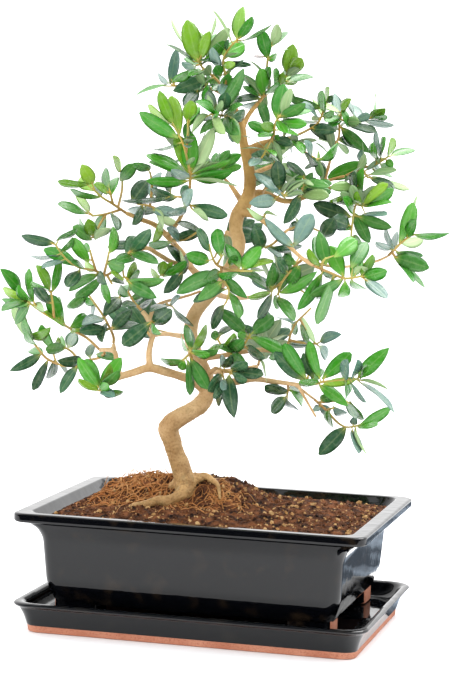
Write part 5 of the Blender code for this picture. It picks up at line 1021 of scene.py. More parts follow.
def tube(points, radii, sides):
    """A closed tube along the points, with flat ends, as vertices and faces."""
    verts, faces = [], []
    for point, radius, (a, b) in zip(points, radii, ring_frames(points)):
        for k in range(sides):
            turn = 2 * pi * (k + 0.5) / sides
            verts.append(point + (a * cos(turn) + b * sin(turn)) * radius)
    for i in range(len(points) - 1):
        for k in range(sides):
            n = (k + 1) % sides
            faces.append((i * sides + k, i * sides + n, (i + 1) * sides + n, (i + 1) * sides + k))
    last = (len(points) - 1) * sides
    faces.append(tuple(reversed(range(sides))))
    faces.append(tuple(range(last, last + sides)))
    return verts, faces


def from_wood(point, lines):
    """How far a point is from the surface of the nearest branch, whose ends are flat."""
    nearest = 1.0
    for line in lines:
        for (a, ra), (b, rb) in zip(line, line[1:]):
            run = b - a
            share = (point - a).dot(run) / run.length_squared
            inside = min(max(share, 0), 1)
            across = (point - a - run * share).length - (ra + (rb - ra) * inside)
            beyond = abs(share - inside) * run.length
            nearest = min(nearest, hypot(beyond, max(across, 0)) if beyond else across)
    return nearest


def clear_foot(points, radius, lines):
    """The twig's points without the stretch of it that lies in the wood."""
    along = (points[1] - points[0]).normalized()
    a = along.orthogonal().normalized()
    b = along.cross(a)
    turns = [k * 2 * pi / FOOT_RIM for k in range(FOOT_RIM)]
    for step in range(int((points[1] - points[0]).length / FOOT_STEP)):
        here = points[0] + along * (step * FOOT_STEP)
        rim = [here + (a * cos(turn) + b * sin(turn)) * radius for turn in turns]
        if min(from_wood(p, lines) for p in [here, *rim]) > GAP:
            return [here, *points[1:]]
    raise ValueError("a twig never leaves the wood")


def nearest_on(lines, across, down):
    """(units away, point, depth) of the place on these twigs that is nearest on the sheet."""
    best = None
    for line in lines:
        for (a, pa), (b, pb) in zip(line, line[1:]):
            dx, dy = b[0] - a[0], b[1] - a[1]
            share = ((across - a[0]) * dx + (down - a[1]) * dy) / max(dx * dx + dy * dy, 1e-9)
            share = min(max(share, 0), 1 - SUNK / (pb - pa).length)
            away = hypot(across - a[0] - dx * share, down - a[1] - dy * share)
            if best is None or away < best[0]:
                best = (away, pa.lerp(pb, share), a[2] + (b[2] - a[2]) * share)
    return best


# %% The simple leaf that keeps room for the fine one
def blade_frame(foot, tip, seen, turn, under):
    """(across, up) of a leaf that shows this share of its width; turn picks the way it leans."""
    along = (tip - foot).normalized()
    to_eye = (EYE - foot.lerp(tip, 0.5)).normalized()
    face = (to_eye - along * to_eye.dot(along)).normalized()
    lean = acos(min(max(seen, 0.1), 1)) * turn
    up = face * cos(lean) + along.cross(face) * sin(lean)
    if under:
        up = -up
    return up.cross(along), up


def blade(root, foot, tip, across, up, width, arch, swell=0):
    """A leaf with a flat top and a keel: an edge in the twig, two sections and a tip."""
    top, keel = up * swell, up * (-LEAF_THICK - swell * 2)
    verts = [root + top + up * LEAF_THICK * 0.3, root + keel * 0.3]
    for share, wide in LEAF_SECTIONS:
        middle = foot.lerp(tip, share) + up * ((tip - foot).length * arch * 4 * share * (1 - share))
        half = across * (width / 2 * wide + swell)
        verts += [middle + top - half, middle + top + half, middle + keel]
    verts.append(tip + (tip - foot).normalized() * swell)
    faces = [(0, 3, 2), (0, 2, 4, 1), (0, 1, 4, 3), (2, 3, 6, 5), (3, 4, 7, 6), (4, 2, 5, 7),
             (5, 6, 8), (6, 7, 8), (7, 5, 8)]
    return verts, faces


def heart(foot, *shape):
    """The leaf without its foot, to see whether it crosses a leaf of its own spray."""
    return BVHTree.FromPolygons(*blade(foot, foot, *shape))


def reach(verts):
    """The two corners of the box round these points."""
    return [[pick(v[i] for v in verts) for i in range(3)] for pick in (min, max)]


# %% What is in place already
class Crowd:
    """What is in place already, so that a new leaf can turn away from it."""

    def __init__(self):
        self.things = []

    def add(self, owner, verts, faces):
        low, high = reach(verts)
        self.things.append((owner, low, high, BVHTree.FromPolygons(verts, faces)))

    def meets(self, verts, faces, keep=None):
        """The owner of something that this touches, leaving out what keep owns."""
        low, high = reach(verts)
        shape = None
        for owner, its_low, its_high, other in self.things:
            if owner == keep or any(its_low[i] > high[i] or its_high[i] < low[i] for i in range(3)):
                continue
            shape = shape or BVHTree.FromPolygons(verts, faces)
            if shape.overlap(other):
                return owner
        return None

    def hides(self, point):
        """Whether something stands between the eye and this point."""
        run = point - EYE
        ray = run.normalized()
        hits = (other.ray_cast(EYE, ray, run.length - 0.002)[0] for _, _, _, other in self.things)
        return any(hit is not None for hit in hits)


# %% Wood, roots and twigs as lines
def wood_lines():
    """The trunk and the branches as lists of (point, radius)."""
    return [[(spot(*p[:3]), p[3] * UNIT) for p in line] for line in [TRUNK, *BRANCHES]]


def root_lines():
    """The surface roots as lists of (point, radius), half sunk in the soil."""
    lines = []
    for root in ROOTS:
        plan = [[value / 1000 for value in point] for point in root]
        lines.append([(Vector((x, y, soil_height(x, y) + lift)), radius)
                      for x, y, lift, radius in plan])
    return lines


def twig_radii(count):
    """The radius at each of a twig's points."""
    return [TWIG * (1 - TWIG_TAPER * i / (count - 1)) for i in range(count)]


def grow_twigs(wood, crowd):
    """{spray: (twigs on the sheet with their points, tubes)}."""
    for line in wood:
        crowd.add("wood", *tube([p for p, _ in line], [r + GAP for _, r in line], WOOD_TUBE))
    sprays = {}
    for name, (twigs, _) in SPRAYS.items():
        lines, tubes = [], []
        for twig in twigs:
            points = [spot(*p) for p in twig]
            radii = twig_radii(len(points))
            if not lines:
                points = clear_foot(points, radii[0], wood)
            lines.append(list(zip(twig, points)))
            tubes.append((points, radii))
        for points, radii in tubes:
            crowd.add(name, *tube(points, [r + GAP for r in radii], TWIG_TUBE))
        sprays[name] = (lines, tubes, [])
    return sprays


# %% Leaves where the sketch has them
# What a leaf tries until it is clear: shifts in depth, which way it tilts, which way it turns.
WAYS_OUT = ((0, 1, 1), (0, 1, -1), (0, -1, 1), (0, -1, -1), (1, 1, 1), (-1, 1, 1), (1, 1, -1),
            (-1, 1, -1), (2, 1, 1), (-2, 1, 1), (3, 1, -1), (-3, 1, -1))


def place_leaves(rng, crowd, sprays):
    """Puts every leaf where the sheet has it, turned or moved until it meets no other spray."""
    for name, (lines, _, placed) in sprays.items():
        inners = []
        for foot_across, foot_down, tip_across, tip_down, seen_wide, shade in SPRAYS[name][1]:
            _, root, depth = nearest_on(lines, foot_across, foot_down)
            foot = spot(foot_across, foot_down, depth)
            seen_long = (spot(tip_across, tip_down, depth) - foot).length
            long = max(seen_long, min(rng.uniform(*LEAF_LONG), seen_long * 2))
            slope = (long * long - seen_long * seen_long) ** 0.5 / DEEP
            full = max(seen_wide * UNIT, long * rng.uniform(*LEAF_SHARE))
            arch = rng.uniform(*LEAF_ARCH)
            tilt, turn = rng.choice((-1, 1)), rng.choice((-1, 1))
            shift = rng.uniform(3, 7)
            best = None
            for shifts, way, lean in WAYS_OUT:
                tip = spot(tip_across, tip_down, depth + way * tilt * slope + shifts * shift)
                across, up = blade_frame(foot, tip, seen_wide * UNIT / full, lean * turn,
                                         shade == "p")
                fat = blade(foot, foot, tip, across, up, full, arch, GAP)
                if crowd.meets(*fat, keep=name):
                    continue
                inner = heart(foot.lerp(tip, 0.3), tip, across, up, full, arch)
                crossed = any(inner.overlap(other) for other in inners)
                if best is None or (best[0] and not crossed):
                    best = (crossed, tip, across, up, fat, inner)
                if not crossed:
                    break
            if best is None:
                continue
            _, tip, across, up, fat, inner = best
            crowd.add(name, *fat)
            inners.append(inner)
            placed.append((root, foot, tip, across, up, full, arch, shade))


# %% Sprays behind the crown
BACK_TRIES, BACK_LEAF_TRIES = 300, 14


def thrown_way(rng, size):
    """A random vector with no part over this size."""
    return Vector([rng.uniform(-1, 1) for _ in range(3)]) * size


def thrown_out(rng, along):
    """A direction square to the twig."""
    out = along.orthogonal().normalized()
    turn = rng.uniform(0, 2 * pi)
    return out * cos(turn) + along.cross(out) * sin(turn)


def facing_sky(ahead, along):
    """(across, up) of a leaf that points ahead from its twig, with its top to the sky."""
    across = ahead.cross(along).normalized()
    up = across.cross(ahead)
    return (-across, -up) if up.z < 0 else (across, up)


def back_twigs(rng, foot, ahead, wood):
    """A main twig that goes back from its branch, and two that leave it."""
    swing = thrown_way(rng, 0.7)
    heading = (ahead + BACK * 0.6 + Vector((0, 0, 0.25)) + swing).normalized()
    bend = (heading + thrown_way(rng, 0.5)).normalized()
    middle = foot + heading * 0.026
    main = [foot, foot + heading * 0.013, middle, middle + bend * 0.016, middle + bend * 0.032]
    main = clear_foot(main, TWIG, wood)
    sprout = (bend.cross(heading).normalized() + heading * 0.6).normalized()
    twin = (heading * 0.6 - bend.cross(heading).normalized()).normalized()
    return [main, [main[2], main[2] + sprout * 0.012, main[2] + sprout * 0.026],
            [main[1], main[1] + twin * 0.012, main[1] + twin * 0.024]]


def back_sprays(rng, wood, crowd, sprays):
    """Fills the back of the crown with leaves on new twigs, all where the eye sees nothing of them."""
    for name, stub in zip(BACK_NAMES, wood[-len(BACK_NAMES):]):
        foot = stub[-1][0]
        ahead = (foot - stub[-2][0]).normalized()
        twigs = None
        for _ in range(BACK_TRIES):
            tries = back_twigs(rng, foot, ahead, wood)
            fats = [tube(line, [r + 2 * GAP for r in twig_radii(len(line))], TWIG_TUBE)
                    for line in (tries[0][1:], *tries[1:])]
            if all(crowd.hides(p) for line in tries for p in line[1:]) and not any(
                    crowd.meets(*fat) for fat in fats):
                twigs = tries
                break
        if twigs is None:
            continue
        tubes = [(line, twig_radii(len(line))) for line in twigs]
        for line, radii in tubes:
            crowd.add(name, *tube(line, [r + GAP for r in radii], TWIG_TUBE))
        placed, inners = [], []
        for line in twigs:
            for before, node in zip(line, line[1:]):
                along = (node - before).normalized()
                root = node - along * SUNK
                for _ in range(BACK_LEAF_TRIES):
                    if len(placed) >= BACK_LEAVES:
                        break
                    out = thrown_out(rng, along)
                    leafward = (along * 0.5 + out + Vector((0, 0, 0.2))).normalized()
                    long = rng.uniform(*LEAF_LONG)
                    tip = root + leafward * long
                    across, up = facing_sky(leafward, along)
                    wide = long * rng.uniform(*LEAF_SHARE)
                    arch = rng.uniform(*LEAF_ARCH)
                    fat = blade(root, root, tip, across, up, wide, arch, GAP)
                    if crowd.meets(*fat, keep=name):
                        continue
                    inner = heart(root.lerp(tip, 0.15), tip, across, up, wide, arch)
                    if any(inner.overlap(other) for other in inners):
                        continue
                    middle = root.lerp(tip, 0.5)
                    edges = [tip, middle + across * wide / 2, middle - across * wide / 2]
                    if not all(crowd.hides(p) for p in edges):
                        continue
                    crowd.add(name, *fat)
                    inners.append(inner)
                    placed.append((root, root, tip, across, up, wide, arch, "d"))
        sprays[name] = ([], tubes, placed)


# %% The whole tree
def grow_tree():
    """(wood lines, root lines, {spray: (twigs on the sheet, tubes, leaves)}, all in one crowd)."""
    rng = random.Random(SEED)
    wood = wood_lines()
    crowd = Crowd()
    sprays = grow_twigs(wood, crowd)
    place_leaves(rng, crowd, sprays)
    back_sprays(rng, wood, crowd, sprays)
    return wood, root_lines(), sprays, crowd


wood, roots, sprays, crowd = grow_tree()
print(sum(len(leaves) for _, _, leaves in sprays.values()), "leaves on", len(sprays), "sprays")

# %% [markdown]
# ## One node tree for everything that grows along a line
# Wood, twigs, leaf stalks and rootlets are all round stems that follow a path and get thinner. A
# path is a chain of edges that carries its own thickness. Geometry Nodes turn each chain into a
# curve and sweep a circle along it, so every stem in the object is made by one rule. A tube built
# vertex by vertex would do it too, but it would have to be written again for each use.

# %% Helpers for node trees of shape
def new_shape_tree(name, **inputs):
    """A Geometry Nodes tree with these named inputs, its group input and its group output."""
    tree = bpy.data.node_groups.new(name, "GeometryNodeTree")
    tree.interface.new_socket("Geometry", in_out="INPUT", socket_type="NodeSocketGeometry")
    for title, kind in inputs.items():
        tree.interface.new_socket(title.replace("_", " "), in_out="INPUT", socket_type=kind)
    tree.interface.new_socket("Geometry", in_out="OUTPUT", socket_type="NodeSocketGeometry")
    return tree, wire(tree, "NodeGroupInput").outputs, wire(tree, "NodeGroupOutput")


def carried(tree, name, kind="FLOAT"):
    """The value that each point carries under this name."""
    return wire(tree, "GeometryNodeInputNamedAttribute", {"Name": name}, data_type=kind).outputs[0]


def shape_of(tree, kind, inputs, output="Geometry", **settings):
    """What a new node gives."""
    return wire(tree, kind, inputs, **settings).outputs[output]


def scaled(tree, vector, factor):
    """The vector times the factor."""
    return wire(tree, "ShaderNodeVectorMath", {0: vector, "Scale": factor},
                operation="SCALE").outputs[0]


def coated(tree, shape, finish):
    """The shape with this finish."""
    return shape_of(tree, "GeometryNodeSetMaterial", {"Geometry": shape, "Material": finish})


def settled(item, tree, name, **inputs):
    """The plain mesh that the tree makes of this object, as a new object; the old one goes."""
    change = item.modifiers.new("shape", "NODES")
    change.node_group = tree
    for socket in tree.interface.items_tree:
        key = socket.name.replace(" ", "_")
        if socket.in_out == "INPUT" and key in inputs:
            change[socket.identifier] = inputs[key]
    mesh = taken_up(item, preserve_all_data_layers=True)
    bpy.data.objects.remove(item)
    made = bpy.data.objects.new(name, mesh)
    mesh.name = name
    bpy.context.scene.collection.objects.link(made)
    return made


# %% The rule for stems
def swept(tree, chains, sides):
    """Round stems along the chains, as thick as their points say."""
    curve = shape_of(tree, "GeometryNodeMeshToCurve", {"Mesh": chains}, "Curve")
    inputs = {"Resolution": sides, "Radius": 1.0}
    ring = wire(tree, "GeometryNodeCurvePrimitiveCircle", inputs).outputs["Curve"]
    inputs = {"Curve": curve, "Profile Curve": ring, "Scale": carried(tree, "thick"),
              "Fill Caps": True}
    mesh = shape_of(tree, "GeometryNodeCurveToMesh", inputs, "Mesh")
    return shape_of(tree, "GeometryNodeSetShadeSmooth", {"Geometry": mesh, "Shade Smooth": True})


stem_tree, given, result = new_shape_tree("stems", Sides="NodeSocketInt",
                                          Finish="NodeSocketMaterial")
stems = swept(stem_tree, given["Geometry"], given["Sides"])
stems = shape_of(stem_tree, "GeometryNodeRealizeInstances", {"Geometry": stems})
stem_tree.links.new(coated(stem_tree, stems, given["Finish"]), result.inputs["Geometry"])


def chained(name, paths):
    """An object of edge chains; each path is a list of (x, y, z, thickness, share young)."""
    points = [point for path in paths for point in path]
    edges, first = [], 0
    for path in paths:
        edges += [(first + i, first + i + 1) for i in range(len(path) - 1)]
        first += len(path)
    made = plain(name, [point[:3] for point in points], [], edges)
    for key, column in (("thick", 3), ("young", 4)):
        values = made.data.attributes.new(key, "FLOAT", "POINT")
        values.data.foreach_set("value", [point[column] for point in points])
    return made


def curved(line, steps):
    """The line on one smooth curve through its points, with this many steps for each stretch."""
    made = []
    for i in range(len(line) - 1):
        near = (line[max(i - 1, 0)], line[i], line[i + 1], line[min(i + 2, len(line) - 1)])
        for k in range(steps):
            t = k / steps
            made.append(tuple(0.5 * (2 * q + (r - p) * t + (2 * p - 5 * q + 4 * r - s) * t * t
                                     + (3 * q - p - 3 * r + s) * t ** 3) for p, q, r, s in zip(*near)))
    return [*made, tuple(line[-1])]


print("stems follow their paths by", len(stem_tree.nodes), "nodes")

# %% [markdown]
# ## Bark
# Olive bark on a young bonsai is thin and pale: smooth and peach-coloured on the upper trunk,
# rougher and speckled with brown and grey-green pores below, and greener on the youngest wood. The
# pale peach of the trunk's middle is in part a painted highlight. The colours are mixed by noise,
# and the height on the object decides how many speckles show. An unwrapped picture of bark would
# repeat and stretch on such a winding trunk.

# %% The bark's finish
ROUGH_BELOW, SMOOTH_ABOVE = 0.11, 0.21     # heights on the object
CROWN_WOOD = (0.26, 0.33)                  # heights between which the wood turns yellower


def make_bark(name):
    """Bark that changes with the height on the object."""
    material, tree, shader = new_finish(name)
    place = wire(tree, "ShaderNodeTexCoord").outputs["Object"]
    height = wire(tree, "ShaderNodeSeparateXYZ", {0: place}).outputs["Z"]
    low = ramp(tree, height, ROUGH_BELOW, SMOOTH_ABOVE, 1, 0)
    patches = ramp(tree, grain(tree, 70, 5), 0.32, 0.68)
    # upper: the pale peach of the trunk's middle, smooth bark and in part a painted highlight.
    upper = blended(tree, patches, paint(194, 154, 102), paint(224, 190, 144))
    lower = blended(tree, patches, paint(156, 116, 66), paint(204, 164, 106))
    crown = blended(tree, patches, paint(160, 118, 56), paint(204, 160, 90))
    colour = blended(tree, ramp(tree, height, *CROWN_WOOD), upper, crown)
    colour = blended(tree, low, colour, lower)
    pores = ramp(tree, grain(tree, 620, 4), 0.5, 0.62)
    amount = maths(tree, "MULTIPLY", pores, ramp(tree, low, 0, 1, 0.10, 0.42))
    colour = blended(tree, amount, colour, paint(112, 84, 52))
    moss = maths(tree, "MULTIPLY", ramp(tree, grain(tree, 120, 4), 0.56, 0.7), low)
    colour = blended(tree, ramp(tree, moss, 0, 1, 0, 0.5), colour, paint(122, 112, 70))
    relief = bumped(tree, grain(tree, 260, 6), 0.55, 0.0011)
    relief = bumped(tree, grain(tree, 900, 3), 0.35, 0.0004, relief)
    feed(tree, shader, base_color=colour, roughness=ramp(tree, pores, 0, 1, 0.62, 0.85), normal=relief)
    return material


bark = make_bark("olive_bark")

# %% Finish of twigs and stalks
material, tree, shader = new_finish("twig_bark")
old_wood = blended(tree, ramp(tree, grain(tree, 180, 4), 0.35, 0.65),
                   paint(154, 116, 60), paint(194, 152, 90))
green_wood = blended(tree, ramp(tree, grain(tree, 90, 3), 0.35, 0.65),
                     paint(196, 164, 66), paint(172, 178, 92))
feed(tree, shader, base_color=blended(tree, mark(tree, "young"), old_wood, green_wood),
     roughness=0.55, normal=bumped(tree, grain(tree, 500, 3), 0.3, 0.0004))
twig_bark = material
print("two barks are mixed")

# %% [markdown]
# ## The wood
# The trunk winds up in one piece with its branches and its surface roots. Stems swept along the
# lines give the limbs, but where they meet they only cross. A voxel remesh melts them into one
# skin, as real wood grows together, and a little smoothing gives the collars. Then noise pushes
# that skin in and out for knots and furrows. Sculpted wood would look as good, but a script
# can't repeat it.

# %% One skin over all limbs
WOOD_SIDES = 16
VOXEL = 0.00075
SMOOTH_TIMES = 4
PLUMP = 0.96             # thickness of each limb for the solid's
LEAST_RADIUS = 0.0009    # a thinner limb would get lost between the voxels
WOOD_STEPS = 5
ROOT_SLIM = (0.95, 0.72, 0.9, 0.9, 0.8)      # thickness of each fine root for the solid's
ROOT_DOWN = 0.8          # share of what a root loses that its middle sinks, so its top comes down

limbs = [curved([(*point, radius) for point, radius in line], WOOD_STEPS) for line in wood]
for line, slim in zip(roots, ROOT_SLIM):
    limbs.append(curved([(point.x, point.y, point.z - radius * (1 - slim) * ROOT_DOWN, radius * slim)
                         for point, radius in line], WOOD_STEPS))
paths = [[(x, y, z, max(radius, LEAST_RADIUS) * PLUMP, 0.0) for x, y, z, radius in line]
         for line in limbs]
tree_wood = settled(chained("wood_lines", paths), stem_tree, "olive_wood",
                    Sides=WOOD_SIDES, Finish=bark)


def refined(item, kind, **settings):
    """The item's mesh after this modifier, which is then gone."""
    change = item.modifiers.new("refine", kind)
    for key, value in settings.items():
        setattr(change, key, value)
    mesh = taken_up(item)
    item.modifiers.clear()
    item.data = mesh


refined(tree_wood, "REMESH", mode="VOXEL", voxel_size=VOXEL, use_smooth_shade=True)
refined(tree_wood, "SMOOTH", factor=0.5, iterations=SMOOTH_TIMES)
print("the wood has", len(tree_wood.data.polygons), "faces")

# %% Knots and furrows
KNOT_GRAIN, FURROW_GRAIN = 95, 420       # grains per metre
KNOT_DEEP, FURROW_DEEP = 0.0011, 0.0004
THICK_WOOD, THIN_WOOD = 0.012, 0.002     # from this thickness on, and where no far side is found
OLD_BELOW, OLD_FADE = 0.24, 0.12         # the bark grows older from this height down, over this much


def weathered(mesh):
    """Moves each point of the bark in or out, most on thick old wood near the ground."""
    mesh.update()
    skin = BVHTree.FromPolygons([v.co for v in mesh.vertices],
                                [tuple(f.vertices) for f in mesh.polygons])
    moved = []
    for vertex in mesh.vertices:
        place, out = vertex.co, vertex.normal
        thick = skin.ray_cast(place - out * VOXEL, -out, 0.03)[3]
        girth = min((thick or THIN_WOOD) / THICK_WOOD, 1)
        old = ease((OLD_BELOW - place.z) / OLD_FADE) * 0.6 + 0.4
        knots = noise.noise(place * KNOT_GRAIN)
        furrows = noise.fractal(place * FURROW_GRAIN, 0.6, 2.0, 3)
        moved.append(place + out * ((knots * KNOT_DEEP + furrows * FURROW_DEEP) * girth * old))
    mesh.vertices.foreach_set("co", [value for place in moved for value in place])
    mesh.update()


weathered(tree_wood.data)
tree_wood.data.materials.clear()
tree_wood.data.materials.append(bark)
smooth(tree_wood)
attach(tree_wood, "root")
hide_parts("trunk")

# %% [markdown]
# ## One leaf
# An olive leaf is leathery: a long oval with a short point, a pale midrib in a shallow fold, a
# shiny top and a pale matt underside. It is a thin closed skin, so it has a top and an underside
# that can be told apart. Each vertex says how far along the leaf and how far from the midrib it
# is, and the finish draws the rib and the veins from that. A picture on a card would look flat from
# the side.

# %% The outline of a leaf
LEAF_ROWS, LEAF_LANES = 8, 4
LEAF_HALF_THICK = 0.006          # for a leaf one long
# Each form: where its outline is how wide, how far the halves fold up, and how wavy the edge is.
LEAF_FORMS = {
    "form_a_oval": ([0.10, 0.52, 0.83, 0.97, 1.0, 0.96, 0.85, 0.62, 0.12], 0.030, 0.000),
    "form_b_spoon": ([0.09, 0.38, 0.66, 0.87, 0.98, 1.0, 0.95, 0.76, 0.20], 0.022, 0.010),
    "form_c_lance": ([0.10, 0.56, 0.86, 0.99, 0.98, 0.89, 0.72, 0.47, 0.06], 0.042, 0.006),
}


def leaf_form(name, outline, fold, wave):
    """A leaf along X, one long and one wide; its points carry along, across and under."""
    verts, marks = [], []
    for side in (1, -1):
        for row, width in enumerate(outline):
            for lane in range(LEAF_LANES + 1):
                across = 2 * lane / LEAF_LANES - 1
                share = row / LEAF_ROWS
                lift = fold * abs(across) * width + wave * sin(share * 3 * pi) * across
                skin = LEAF_HALF_THICK * (1 - across * across) * min(1, width * 2)
                verts.append((share, across * width / 2, lift + side * skin))
                marks.append((share, across))
    lanes = LEAF_LANES + 1
    half = lanes * len(outline)
    faces, under = [], []
    for side in (0, 1):
        for row in range(LEAF_ROWS):
            for lane in range(LEAF_LANES):
                a = side * half + row * lanes + lane
                quad = (a, a + lanes, a + lanes + 1, a + 1)
                faces.append(quad if side else quad[::-1])
                under.append(float(side))
    made = plain(name, verts, faces)
    for key, values in (("along", [m[0] for m in marks]), ("across", [m[1] for m in marks])):
        made.data.attributes.new(key, "FLOAT", "POINT").data.foreach_set("value", values)
    made.data.attributes.new("under", "FLOAT", "FACE").data.foreach_set("value", under)
    return made


forms = bpy.data.collections.new("leaf_forms")
bpy.context.scene.collection.children.link(forms)
for name, facts in LEAF_FORMS.items():
    form = leaf_form(name, *facts)
    bpy.context.scene.collection.objects.unlink(form)
    forms.objects.link(form)
    work = bmesh.new()
    work.from_mesh(form.data)
    bmesh.ops.remove_doubles(work, verts=work.verts, dist=1e-4)
    work.to_mesh(form.data)
    work.free()
    smooth(form)
print(len(LEAF_FORMS), "forms of leaf, each with", len(form.data.polygons), "faces")

# %% [markdown]
# ## The leaf's finish
# A young leaf is lime and glossy, an old one is dark, bluish and duller, and the underside is pale
# and matt. The leaf's own tint comes with it as an attribute. On top of that the nodes lay the
# midrib, side veins, a paler foot and cloudy spots. One material for all leaves keeps them of one
# kind; a material for each tint would make them look like different plants.

# %% Green of leaves
SIDE_VEINS, VEIN_SLANT = 9.0, 1.7        # veins on each half, and how far they lean to the tip


def make_leaf(name, shine):
    """The finish of leaves whose roughness starts at shine."""
    material, tree, shader = new_finish(name)
    times, mix, ramped = partial(maths, tree, "MULTIPLY"), partial(blended, tree), partial(ramp, tree)
    along, under, tint = mark(tree, "along"), mark(tree, "under"), mark(tree, "tint", "Color")
    off_rib = maths(tree, "ABSOLUTE", mark(tree, "across"))
    rib = ramped(off_rib, 0.03, 0.13, 1, 0)
    slant = maths(tree, "SUBTRACT", times(along, SIDE_VEINS), times(off_rib, VEIN_SLANT))
    vein = ramped(maths(tree, "PINGPONG", slant, 0.5), 0.0, 0.09, 1, 0)
    vein = times(vein, ramped(off_rib, 0.75, 1.0, 0.30, 0))
    clouds = ramped(grain(tree, 210, 4), 0.35, 0.7)
    colour = mix(ramped(clouds, 0, 1, 0, 0.12), tint, paint(176, 200, 150))
    colour = mix(ramped(along, 0.0, 0.22, 0.45, 0), colour, paint(190, 198, 96))
    colour = mix(times(vein, 0.12), colour, paint(160, 190, 110))
    colour = mix(times(rib, 0.13), colour, paint(186, 208, 134))
    pale = mix(0.55, tint, paint(172, 196, 150))
    pale = mix(times(rib, 0.35), pale, paint(206, 214, 160))
    colour = mix(under, colour, pale)
    dull = mix(under, ramped(clouds, 0, 1, shine, shine + 0.14), (0.62, 0.62, 0.62, 1))
    relief = bumped(tree, maths(tree, "ADD", times(rib, -0.8), times(vein, -0.15)), 0.3, 0.0004)
    relief = bumped(tree, grain(tree, 330, 3), 0.22, 0.0006, relief)
    feed(tree, shader, base_color=colour, roughness=dull, normal=relief, ior=1.45)
    return material


young_leaf = make_leaf("leaf_young_gloss", 0.16)
mature_leaf = make_leaf("leaf_mature_gloss", 0.2)

# %% [markdown]
# ## Sprays of leaves
# Each spray is a few twigs with their leaves. Geometry Nodes set a leaf form on every leaf's point,
# turn it by the two directions that the point carries, stretch it to its length and width, and
# bend it, while the same tree sweeps the twigs and stalks. One object a leaf would be slow and
# hard to keep together.

# %% The rule for leafy twigs
SPRAY_STEM_SIDES = 6

spray_tree, given, result = new_shape_tree(
    "leafy_twigs", Forms="NodeSocketCollection", Sides="NodeSocketInt",
    Leaf_finish="NodeSocketMaterial", Twig_finish="NodeSocketMaterial")
parted = wire(spray_tree, "GeometryNodeSeparateGeometry",
              {"Geometry": given["Geometry"], "Selection": carried(spray_tree, "is_leaf", "BOOLEAN")},
              domain="POINT").outputs
turned = wire(spray_tree, "FunctionNodeAxesToRotation",
              {"Primary Axis": carried(spray_tree, "up", "FLOAT_VECTOR"),
               "Secondary Axis": carried(spray_tree, "ahead", "FLOAT_VECTOR")},
              primary_axis="Z", secondary_axis="X").outputs[0]
kinds = wire(spray_tree, "GeometryNodeCollectionInfo", {
    "Collection": given["Forms"], "Separate Children": True, "Reset Children": True}).outputs[0]
leaves = shape_of(spray_tree, "GeometryNodeInstanceOnPoints", {
    "Points": parted["Selection"], "Instance": kinds, "Pick Instance": True,
    "Instance Index": carried(spray_tree, "form", "INT"), "Rotation": turned,
    "Scale": carried(spray_tree, "size", "FLOAT_VECTOR")}, "Instances")
leaves = shape_of(spray_tree, "GeometryNodeRealizeInstances", {"Geometry": leaves})

# An arch over the whole leaf, and a tip that curls down.
calc = partial(maths, spray_tree)
along = carried(spray_tree, "along")
arch = calc("MULTIPLY", calc("MULTIPLY", along, calc("SUBTRACT", 1.0, along)),
            carried(spray_tree, "arch"))
curl = calc("MULTIPLY", calc("POWER", along, 3.0), carried(spray_tree, "curl"))
offset = scaled(spray_tree, carried(spray_tree, "up", "FLOAT_VECTOR"), calc("ADD", arch, curl))
leaves = shape_of(spray_tree, "GeometryNodeSetPosition", {"Geometry": leaves, "Offset": offset})
leaves = coated(spray_tree, leaves, given["Leaf finish"])
stems = coated(spray_tree, swept(spray_tree, parted["Inverted"], given["Sides"]),
               given["Twig finish"])
both = wire(spray_tree, "GeometryNodeJoinGeometry").inputs[0]
for part in (stems, leaves):
    spray_tree.links.new(part, both)
grown = shape_of(spray_tree, "GeometryNodeRealizeInstances", {"Geometry": both.node.outputs[0]})
spray_tree.links.new(grown, result.inputs["Geometry"])
print("sprays grow by", len(spray_tree.nodes), "nodes")

# %% Tints of leaves
# s: a bluish grey-green leaf colour, made paler in part as painted sheen.
TINTS = {
    "y": ((94, 148, 26), (138, 182, 54)), "g": ((38, 124, 20), (80, 158, 42)),
    "m": ((50, 116, 40), (84, 146, 66)), "d": ((28, 68, 44), (56, 102, 68)),
    "s": ((84, 122, 112), (120, 150, 140)), "p": ((128, 172, 92), (168, 200, 130)),
    "r": ((132, 78, 56), (150, 92, 62)),
}


def leaf_tint(rng, shade):
    """A tint between the two ends of this shade."""
    share = rng.random()
    first, second = TINTS[shade]
    return paint(*(a + (b - a) * share for a, b in zip(first, second)))[:3]


# %% [markdown]
# ## The second row of leaves
# Between the sketch's leaves the crown shows smaller, shaded ones further in. A rule adds them on
# the sprays' twigs where the crown is thick: near leaves that the sketch has, and clear of all else.
# So the outline stays the sketch's. Places of their own would double the sketch for leaves that
# nobody looks at one by one.

# %% Where a second row may grow
THICK_PARTS = ((185, 40, 300, 170), (290, 100, 400, 200))
NEAR_SKETCH = 12         # squares of the sheet from the line of a sketched leaf


def on_sheet(point):
    """The square of the sheet through which the eye sees this point."""
    run = point - EYE
    size = SHEET_AWAY / run.dot(LOOK)
    return SHEET_MIDDLE[0] + run.dot(SIDE) * size, SHEET_MIDDLE[1] - run.dot(RISE) * size


def allowed(point, lines):
    """Whether the eye sees this point where the crown is thick and close to one of these lines."""
    x, y = on_sheet(point)
    if not any(left < x < right and top < y < bottom for left, top, right, bottom in THICK_PARTS):
        return False
    for (ax, ay), (bx, by) in lines:
        dx, dy = bx - ax, by - ay
        share = min(max(((x - ax) * dx + (y - ay) * dy) / max(dx * dx + dy * dy, 1e-9), 0), 1)
        if hypot(x - ax - dx * share, y - ay - dy * share) < NEAR_SKETCH:
            return True
    return False


# %% One small leaf on a twig
INNER_LONG, INNER_SHARE = (0.014, 0.024), (0.36, 0.46)
INNER_SHADES = "mmdsgp"
INNER_STALK = 0.0015     # from the twig to the foot of the leaf


